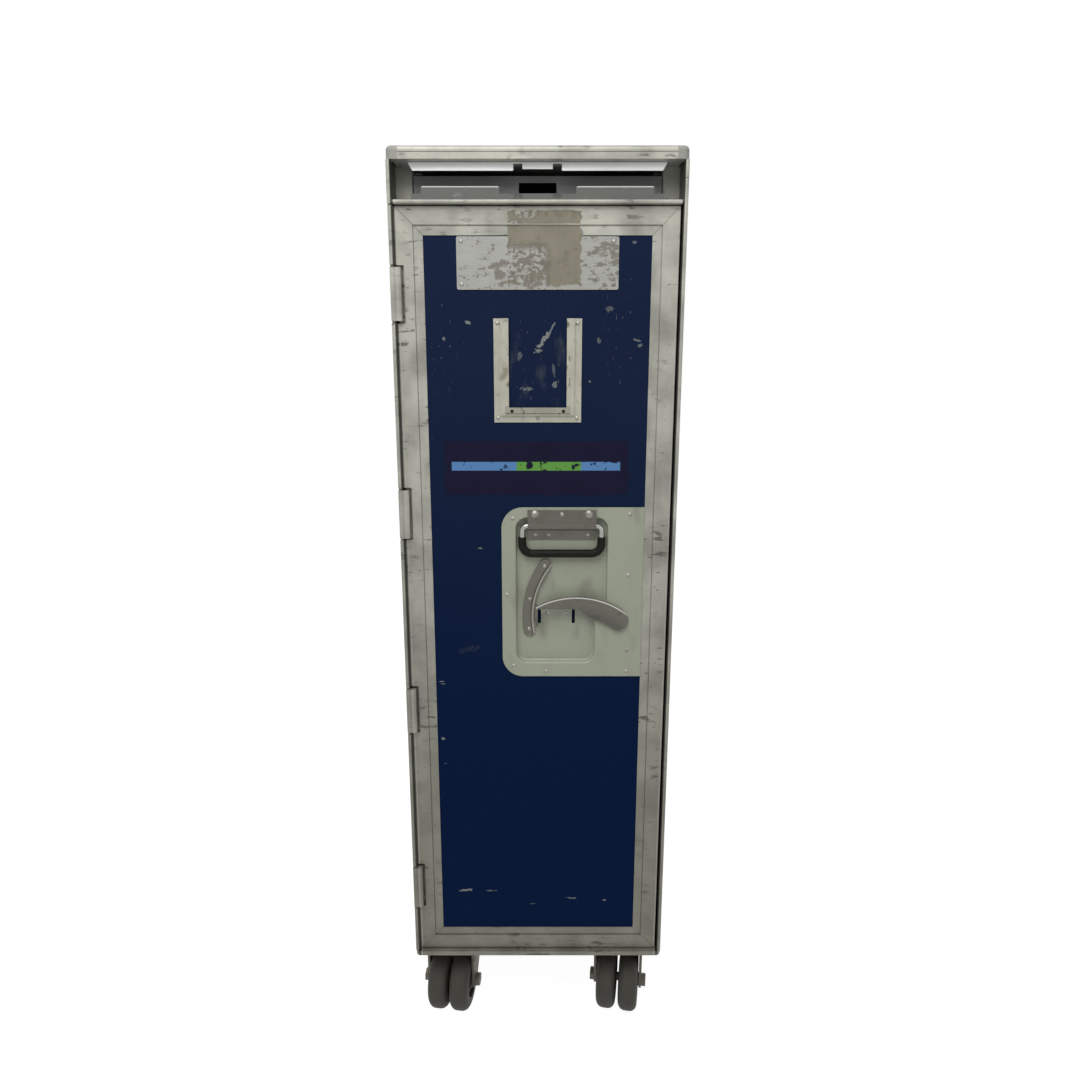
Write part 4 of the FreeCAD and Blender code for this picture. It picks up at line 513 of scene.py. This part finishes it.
# %% Grip, seal and caps
def dull_plastic(name, colour, rough, dust, gloss=0.5):
    """A moulded plastic or rubber with a fine grain and pale dust in patches."""
    finish = Finish(name)
    clouds = finish.noise(40, detail=5.0)
    dusty = tuple(c * 0.5 + 0.16 for c in colour)
    finish.colour(finish.blend(finish.ramp(clouds, 0.40, 0.75) * dust, colour, dusty))
    finish.feed("Roughness", rough + clouds * 0.15)
    finish.fixed("Specular IOR Level", gloss)
    finish.relief(finish.noise(900, detail=3.0), 0.00008)
    return finish.material


# %% [markdown]
# ## The bay above the door
# The pull-out shelf is bent sheet metal and the ice drawer a shallow grey pan. From the front they are
# little more than edges, so each gets a painted highlight: along the shelf's rounded lip and along the
# top edges of the drawer's two tabs. Both are masks at a distance from the piece's measured box, so
# they stay on the edge if its place changes.

# %% The work shelf: satin metal, with a painted highlight along its front lip
def shelf_metal():
    """The lip, which carries a painted highlight, is what lies within a centimetre of the shelf's front edge.
    """
    shelf_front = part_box("work_shelf")[0].y
    finish = Finish("shelf_metal", metallic=0.8)
    clouds = finish.noise(30, detail=5.0)
    lines = finish.noise(1100, stretch=(0.04, 1, 1), detail=3.0)
    lip = finish.ramp(finish.axis("Y"), shelf_front + 0.012, shelf_front + 0.008)
    base = finish.blend(lines * 0.5 + clouds * 0.5, (0.33, 0.33, 0.325), (0.46, 0.46, 0.455))
    # Painted highlight along the rounded front lip.
    base = finish.blend(lip, base, (0.70, 0.70, 0.69))
    finish.colour(base)
    finish.feed("Roughness", 0.32 + clouds * 0.2)
    finish.relief(lines, 0.00003)
    return finish.material


# %% The ice drawer: dark grey, with a painted highlight on the top edges of its two tabs
def drawer_plastic():
    """The painted highlight is a line on the front face, 14 mm above the drawer's underside."""
    drawer_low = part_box("ice_drawer")[0]
    tab_top = drawer_low.z + 0.014
    finish = Finish("drawer_plastic")
    clouds = finish.noise(50, detail=5.0)
    front = finish.ramp(finish.axis("Y"), drawer_low.y + 0.004, drawer_low.y + 0.002)
    edge = finish.line(finish.axis("Z"), tab_top, 0.0014, 0.0006) * front
    scrapes = finish.ramp(finish.noise(140, stretch=(0.3, 1, 1), detail=6.0), 0.62, 0.72) * 0.15
    base = finish.blend(clouds, (0.13, 0.132, 0.133), (0.21, 0.212, 0.212))
    base = finish.blend(front * 0.85, base, (0.105, 0.104, 0.098))
    # Painted highlight on the tabs' top edges, together with pale scrapes.
    base = finish.blend(edge | scrapes, base, (0.68, 0.68, 0.67))
    finish.colour(base)
    finish.feed("Roughness", 0.40 + clouds * 0.15)
    finish.relief(finish.noise(900, detail=2.0), 0.00005)
    return finish.material


# %% [markdown]
# ## Wheels
# Galley floors leave rubber grey-brown with dust. It is blackest where it touches the ground, masked
# by height: darker from 5 cm down to the floor.

# %% Wheels: grey-brown rubber, darkest near the floor
def wheel_rubber():
    """Clouded rubber, darker from 5 cm down to the floor."""
    black = (0.022, 0.020, 0.015)
    finish = Finish("wheel_rubber")
    clouds = finish.noise(55, detail=6.0)
    low = finish.ramp(finish.axis("Z"), 0.05, 0.0)
    base = finish.blend(clouds, (0.022, 0.0205, 0.0155), (0.060, 0.055, 0.044))
    finish.colour(finish.blend(low * 0.5, base, black))
    finish.feed("Roughness", 0.62 + clouds * 0.25)
    finish.relief(finish.noise(420), 0.0002)
    return finish.material


# %% [markdown]
# ## Placard and card holder
# The placard is a thin bare plate. Old tape has left crumbs of brown glue on it, most of them in two
# places, so two soft patches are added to the noise before it is cut off at a level. The card holder is
# folded from one sheet, and dirt settles along its lip. The channel that a card stands in is darkened
# as painted shading, and more where dirt lies; the channel's lower edge is a dark painted shadow line,
# and its two rivet holes are painted black as shadow.

# %% Bare placard: dull metal with brown glue left on it
def placard_metal():
    """Glue stays where cloudy noise + crumbs + two worst places is high."""
    finish = Finish("placard_metal", metallic=0.35)
    lines = finish.noise(900, stretch=(0.05, 1, 1), detail=3.0)
    clouds = finish.noise(40, detail=5.0)
    worst = finish.patch(0.068, 0.920, 0.03, 0.03) * 0.13 + finish.patch(-0.012, 0.912, 0.05, 0.026) * 0.15
    crumbs = finish.noise(420, stretch=(0.8, 1, 1.2), detail=5.0, shift=(2, 2, 2)) * 0.5
    glue = finish.noise(150, stretch=(0.8, 1, 1.3), detail=8.0, shift=(4, 0, 2))
    glue = finish.ramp(glue + worst + crumbs, 0.84, 0.97)
    base = finish.blend(lines * 0.6 + clouds * 0.4, (0.27, 0.27, 0.258), (0.43, 0.43, 0.41))
    finish.colour(finish.blend(glue * 0.6, base, (0.14, 0.115, 0.078)))
    finish.feed("Roughness", 0.36 + clouds * 0.2 + glue * 0.3)
    finish.relief(glue + lines * 0.1, 0.0001)
    return finish.material


# %% The card holder: folded aluminium, soiled along its inner lip
def holder_metal():
    """Masks by distance from the holder's sides and foot: soiled lip, channel strip of painted shading and
    dirt, its edge as a painted shadow line, two rivet holes painted black as shadow.
    """
    low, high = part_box("card_holder")
    arm, channel_low, channel_high = 0.012, 0.0091, 0.0176
    hole_x, hole_z, hole_radius = 0.0273, low.z + 0.0118, 0.0019

    finish = Finish("holder_metal", metallic=0.35)
    side = high.x - abs(finish.axis("X"))
    foot = finish.axis("Z") - low.z
    clouds = finish.noise(60, detail=6.0)
    soil = finish.ramp(finish.noise(230, stretch=(1, 1, 0.5), detail=7.0, shift=(2, 0, 5)), 0.56, 0.66)
    lip = finish.ramp(side, arm, arm + 0.0008) * finish.ramp(foot, 0.0095, 0.0105)
    between_arms = finish.ramp(side, arm - 0.001, arm)
    strip = (finish.ramp(foot, channel_low - 0.0003, channel_low + 0.0003)
             * finish.ramp(foot, channel_high + 0.0004, channel_high - 0.0004) * between_arms)
    edge = finish.line(foot, channel_low, 0.0009, 0.0003) * between_arms
    stain = finish.patch(-0.038, low.z + 0.055, 0.009, 0.014) * finish.ramp(clouds, 0.42, 0.60)
    left_hole, right_hole = (finish.ramp(finish.reach(x, hole_z), hole_radius + 0.0002, hole_radius - 0.0002)
                             for x in (-hole_x, hole_x))

    base = finish.blend(clouds, (0.35, 0.345, 0.285), (0.54, 0.535, 0.46))
    base = finish.blend(soil * (lip * 0.55 + 0.22), base, (0.10, 0.088, 0.062))
    base = finish.blend(stain * 0.7, base, (0.16, 0.13, 0.085))
    # The channel strip: painted shading, deepened by the soil noise as dirt.
    base = finish.blend(strip * (0.35 + soil * 0.4), base, (0.09, 0.085, 0.066))
    # A dark painted shadow line along the channel's lower edge.
    base = finish.blend(edge * 0.7, base, (0.03, 0.028, 0.022))
    # The two rivet holes, painted near black as shadow.
    base = finish.blend(left_hole | right_hole, base, (0.006, 0.006, 0.006))
    finish.colour(base)
    finish.feed("Roughness", 0.36 + clouds * 0.2)
    finish.relief(soil * -1.0, 0.0001)
    return finish.material


# %% [markdown]
# ## The lever and its guide
# Both are cut to arcs and brushed round them, so their lines follow the distance from a centre: the
# middle of the arc of the lever's crown for one, the pivot it turns on for the other.

# %% Centres and radii of the two arcs
pivot_low, pivot_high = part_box("lever_shaft")
pivot = (pivot_low + pivot_high) / 2
crown_radius = 0.0935
crown = (pivot.x - 0.047, pivot.z - 0.0678)
guide_inner = 0.101 - 0.0067
brush_scale = 2600.0
print("lever pivot at", round(pivot.x, 4), round(pivot.z, 4))


# %% Steel of the lever
def lever_steel():
    """Steel with a painted highlight along its upper edge and painted shading towards its lower side; inward =
    crown_radius - distance from the crown's centre.
    """
    finish = Finish("lever_steel", metallic=0.9)
    inward = crown_radius - finish.reach(*crown)
    lines = finish.rings(inward, brush_scale)
    clouds = finish.noise(60, detail=5.0)
    rim_highlight = finish.line(inward, 0.0011, 0.0010, 0.0004)
    base = finish.blend(lines * 0.6 + clouds * 0.4, (0.085, 0.082, 0.070), (0.19, 0.185, 0.16))
    # Painted shading, darker away from the upper edge.
    base = finish.blend(finish.ramp(inward, 0.006, 0.022) * 0.5, base, (0.07, 0.068, 0.058))
    # Painted highlight along the upper edge.
    base = finish.blend(rim_highlight * 0.8, base, (0.62, 0.61, 0.57))
    base = finish.blend(finish.ramp(clouds, 0.55, 0.66) * 0.35, base, (0.05, 0.047, 0.038))
    finish.colour(base)
    finish.feed("Roughness", 0.30 + lines * 0.15)
    finish.relief(lines, 0.00004)
    return finish.material


# %% Steel of the guide
def guide_steel():
    """Steel with a painted highlight on its inner lip and a painted shadow in the fold beside it; outward =
    distance to the pivot - inner.
    """
    finish = Finish("guide_steel", metallic=0.9)
    outward = finish.reach(pivot.x, pivot.z) - guide_inner
    lines = finish.rings(outward, brush_scale)
    clouds = finish.noise(60, detail=5.0)
    fold = finish.line(outward, 0.0036, 0.0011, 0.0004)
    lip = finish.line(outward, 0.0018, 0.0012, 0.0005)
    base = finish.blend(lines * 0.7 + clouds * 0.3, (0.09, 0.087, 0.072), (0.20, 0.195, 0.165))
    # Painted shadow in the fold beside the lip.
    base = finish.blend(fold * 0.6, base, (0.045, 0.042, 0.034))
    # Painted highlight along the inner lip.
    base = finish.blend(lip * 0.5, base, (0.46, 0.45, 0.41))
    finish.colour(base)
    finish.feed("Roughness", 0.32 + lines * 0.15)
    finish.relief(lines, 0.00004)
    return finish.material


# %% [markdown]
# ## Hand out the finishes
# Every solid of the CAD model names the material slot it belongs to. Most take that slot's finish. Bars
# that lie across the cart need streaks that lie too, and a few pieces have a finish of their own.

# %% Make a finish for every material slot of the CAD model
upright, level_x = (bar_finish(f"aluminium_{letter.lower()}", letter) for letter in "ZX")
finishes = {
    "frame_aluminium": upright,
    "side_laminate": pale_laminate("side_laminate", (0.46, 0.47, 0.46), (0.36, 0.37, 0.365)),
    "top_laminate": pale_laminate("top_laminate", (0.44, 0.45, 0.445), (0.33, 0.34, 0.335)),
    "inner_lining": pale_laminate("inner_lining", (0.42, 0.43, 0.425), (0.32, 0.33, 0.325)),
    "door_blue": navy_laminate(),
    "placard_metal": placard_metal(),
    "latch_paint": latch_paint(),
    "stainless": metal("stainless", (0.155, 0.150, 0.130), (0.06, 1, 1), rough=0.33, dirt=0.5),
    "bright_rod": metal("bright_rod", (0.42, 0.42, 0.40), (0.05, 1, 1), rough=0.16, dirt=0.30),
    "zinc": metal("zinc", (0.15, 0.142, 0.12), (1, 1, 1), rough=0.5, dirt=0.8),
    "shelf_metal": shelf_metal(),
    "black_grip": dull_plastic("black_grip", (0.008, 0.009, 0.0065), rough=0.45, dust=0.04, gloss=0.12),
    "seal_rubber": dull_plastic("seal_rubber", (0.03, 0.03, 0.03), rough=0.6, dust=0.2),
    "cap_plastic": dull_plastic("cap_plastic", (0.30, 0.30, 0.275), rough=0.5, dust=0.4),
    "drawer_plastic": drawer_plastic(),
    "wheel_rubber": wheel_rubber(),
}

# %% Give every solid its finish
own_finishes = {
    "card_holder": holder_metal(),
    "hinge_blocks": bar_finish("knuckle", "Z", wear_and_gap_shade=0.15),
    "latch_lever": lever_steel(),
    "lever_guide": guide_steel(),
    "door_fasteners": metal("fastener_steel", (0.32, 0.315, 0.28), (1, 1, 1), rough=0.34, dirt=0.5),
}
for node in ("door_rail_top", "door_rail_bottom", "top_rails", "cross_rail", "jamb_rails", "base_tray"):
    own_finishes[node] = level_x
for row in frame["record"]["subparts"]:
    material = own_finishes.get(row["node"], finishes[row["material_slot"]])
    frame["nodes"][row["node"]].material_slots[0].material = material
print(len(finishes), "finishes on", len(frame["nodes"]), "solids,", len(own_finishes), "with one of their own")

# %% [markdown]
# ## Tape and film on the door
# A strip of paper tape is stuck over the top of the door's frame and the placard, and a worn dark film
# lies above the latch plate. Both are thinner than a millimetre and follow what is under them, so each
# is one surface whose depth is a function of height, between four torn edges.

# %% Depth of the door's front at a height
rail_low, rail_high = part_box("door_rail_top")
placard_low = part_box("placard_plate")[0]
panel_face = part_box("door_panel")[0].y


def face_depth(z):
    """y of the door's face: the frame's at the top, with a soft step to the placard's below it.

    y = placard + (frame - placard) / (1 + exp(-(z - step) / softness))
    """
    step, softness = rail_low.z + 0.010, 0.0006
    return placard_low.y + (rail_low.y - placard_low.y) / (1 + np.exp(-(z - step) / softness))


# %% A sheet with torn edges
def jagged(count, seed, coarse, size):
    """A torn edge: random steps smoothed over a few neighbours, centred on zero."""
    random = np.random.default_rng(seed)
    rough = np.convolve(random.normal(size=count + coarse), np.ones(coarse) / coarse, "valid")[:count]
    return rough * size


def torn_sheet(left, right, low, high, columns, rows, seed, coarse, size):
    """x and z of a grid of points between four torn edges, for u and v from 0 to 1:

    x = x0(v) + (x1(v) - x0(v)) u and z = z0(u) + (z1(u) - z0(u)) v, each edge a straight line plus a torn one.
    coarse and size hold one value for each edge: left, right, low and high.
    """
    u = np.linspace(0, 1, columns)[None, :]
    v = np.linspace(0, 1, rows)[:, None]
    x0 = left + jagged(rows, seed, coarse[0], size[0])[:, None]
    x1 = right + jagged(rows, seed + 1, coarse[1], size[1])[:, None]
    z0 = low + jagged(columns, seed + 2, coarse[2], size[2])[None, :]
    z1 = high + jagged(columns, seed + 3, coarse[3], size[3])[None, :]
    return x0 + (x1 - x0) * u, z0 + (z1 - z0) * v


# %% A strip of paper tape
def paper_tape():
    """Tan crepe paper, thin in soft patches and torn to shreds at its top left and lower left."""
    finish = Finish("paper_tape", roughness=0.7)
    clouds = finish.noise(60, detail=6.0)
    stains = finish.ramp(finish.noise(130, detail=5.0, shift=(2, 9, 0)), 0.62, 0.70)
    base = finish.blend(clouds, (0.19, 0.173, 0.128), (0.29, 0.27, 0.21))
    finish.colour(finish.blend(stains * 0.6, base, (0.17, 0.13, 0.075)))
    finish.relief(finish.noise(500, stretch=(1, 1, 0.2)), 0.0001)

    thin = finish.ramp(finish.noise(45, detail=5.0, shift=(0, 0, 6)), 0.30, 0.42)
    top_left = finish.patch(-0.012, 0.968, 0.015, 0.009) | finish.patch(-0.024, 0.958, 0.008, 0.004)
    lower_left = finish.ramp(finish.axis("X"), 0.016, 0.004) * finish.ramp(finish.axis("Z"), 0.942, 0.930)
    shreds = finish.ramp(finish.noise(240, detail=6.0, shift=(1, 1, 1)), 0.50, 0.58)
    finish.feed("Alpha", (0.70 + thin * 0.28) * (1 - (top_left | lower_left) * (1 - shreds * 0.8)))
    return finish.material


# y = face_depth(z) - lift + ripple, a wave 0.06 mm high at most in both directions
lift = 0.0002
tape_x, tape_z = torn_sheet(-0.0306, 0.0443, placard_low.z + 0.004, rail_high.z - 0.004, columns=60, rows=80,
                            seed=11, coarse=(5, 4, 3, 5), size=(0.0012, 0.0016, 0.0022, 0.0010))
ripple = 0.00006 * np.sin(tape_x * 420 + np.sin(tape_z * 160) * 2) * np.sin(tape_z * 230)
tape_y = face_depth(tape_z) - lift + ripple
tape = grid_mesh("paper_tape", np.stack([tape_x, tape_y, tape_z], axis=-1), paper_tape())
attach(tape, "door")
print("tape", tape.name, "on the door")


# %% Worn film above the latch plate
def film_finish():
    """Near-black film with a chipped stripe along its middle, green between two lengths of blue."""
    blue, green = (0.11, 0.25, 0.52), (0.13, 0.34, 0.07)
    stripe_z, stripe_half, green_x, green_half = 0.711, 0.0042, 0.012, 0.034
    finish = Finish("worn_film")
    x, z = finish.axis("X"), finish.axis("Z")
    clouds = finish.noise(35)
    stripe = finish.line(z, stripe_z, stripe_half + 0.001, stripe_half) * finish.line(x, -0.002, 0.092, 0.090)
    tint = finish.blend(finish.line(x, green_x, green_half + 0.002, green_half), blue, green)
    unworn = finish.ramp(finish.noise(120, detail=5.0, shift=(3, 0, 3)), 0.66, 0.60)
    chips = finish.ramp(finish.noise(240, detail=5.0, shift=(0, 0, 9)), 0.68, 0.72)
    base = finish.blend(clouds, (0.010, 0.0095, 0.028), (0.014, 0.0125, 0.038))
    base = finish.blend(stripe * unworn, base, tint)
    finish.colour(finish.blend(chips * 0.6, base, (0.01, 0.02, 0.09)))
    finish.fixed("Specular IOR Level", 0.05)
    finish.feed("Roughness", 0.35 + clouds * 0.2)
    return finish.material


# y = the panel's face - film_lift, flat all over
film_lift = 0.00015
film_x, film_z = torn_sheet(-0.101, 0.098, 0.680, 0.738, columns=120, rows=30,
                            seed=21, coarse=(4, 4, 6, 6), size=(0.0012, 0.0016, 0.0008, 0.0008))
film_y = np.full_like(film_x, panel_face - film_lift)
film = grid_mesh("worn_film", np.stack([film_x, film_y, film_z], axis=-1), film_finish())
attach(film, "door")
print("film", film.name, "on the door")

# %% [markdown]
# ## Colour settings
# Colours are shown through the Standard view transform.

# %% Standard view transform
bpy.context.scene.view_settings.view_transform = "Standard"
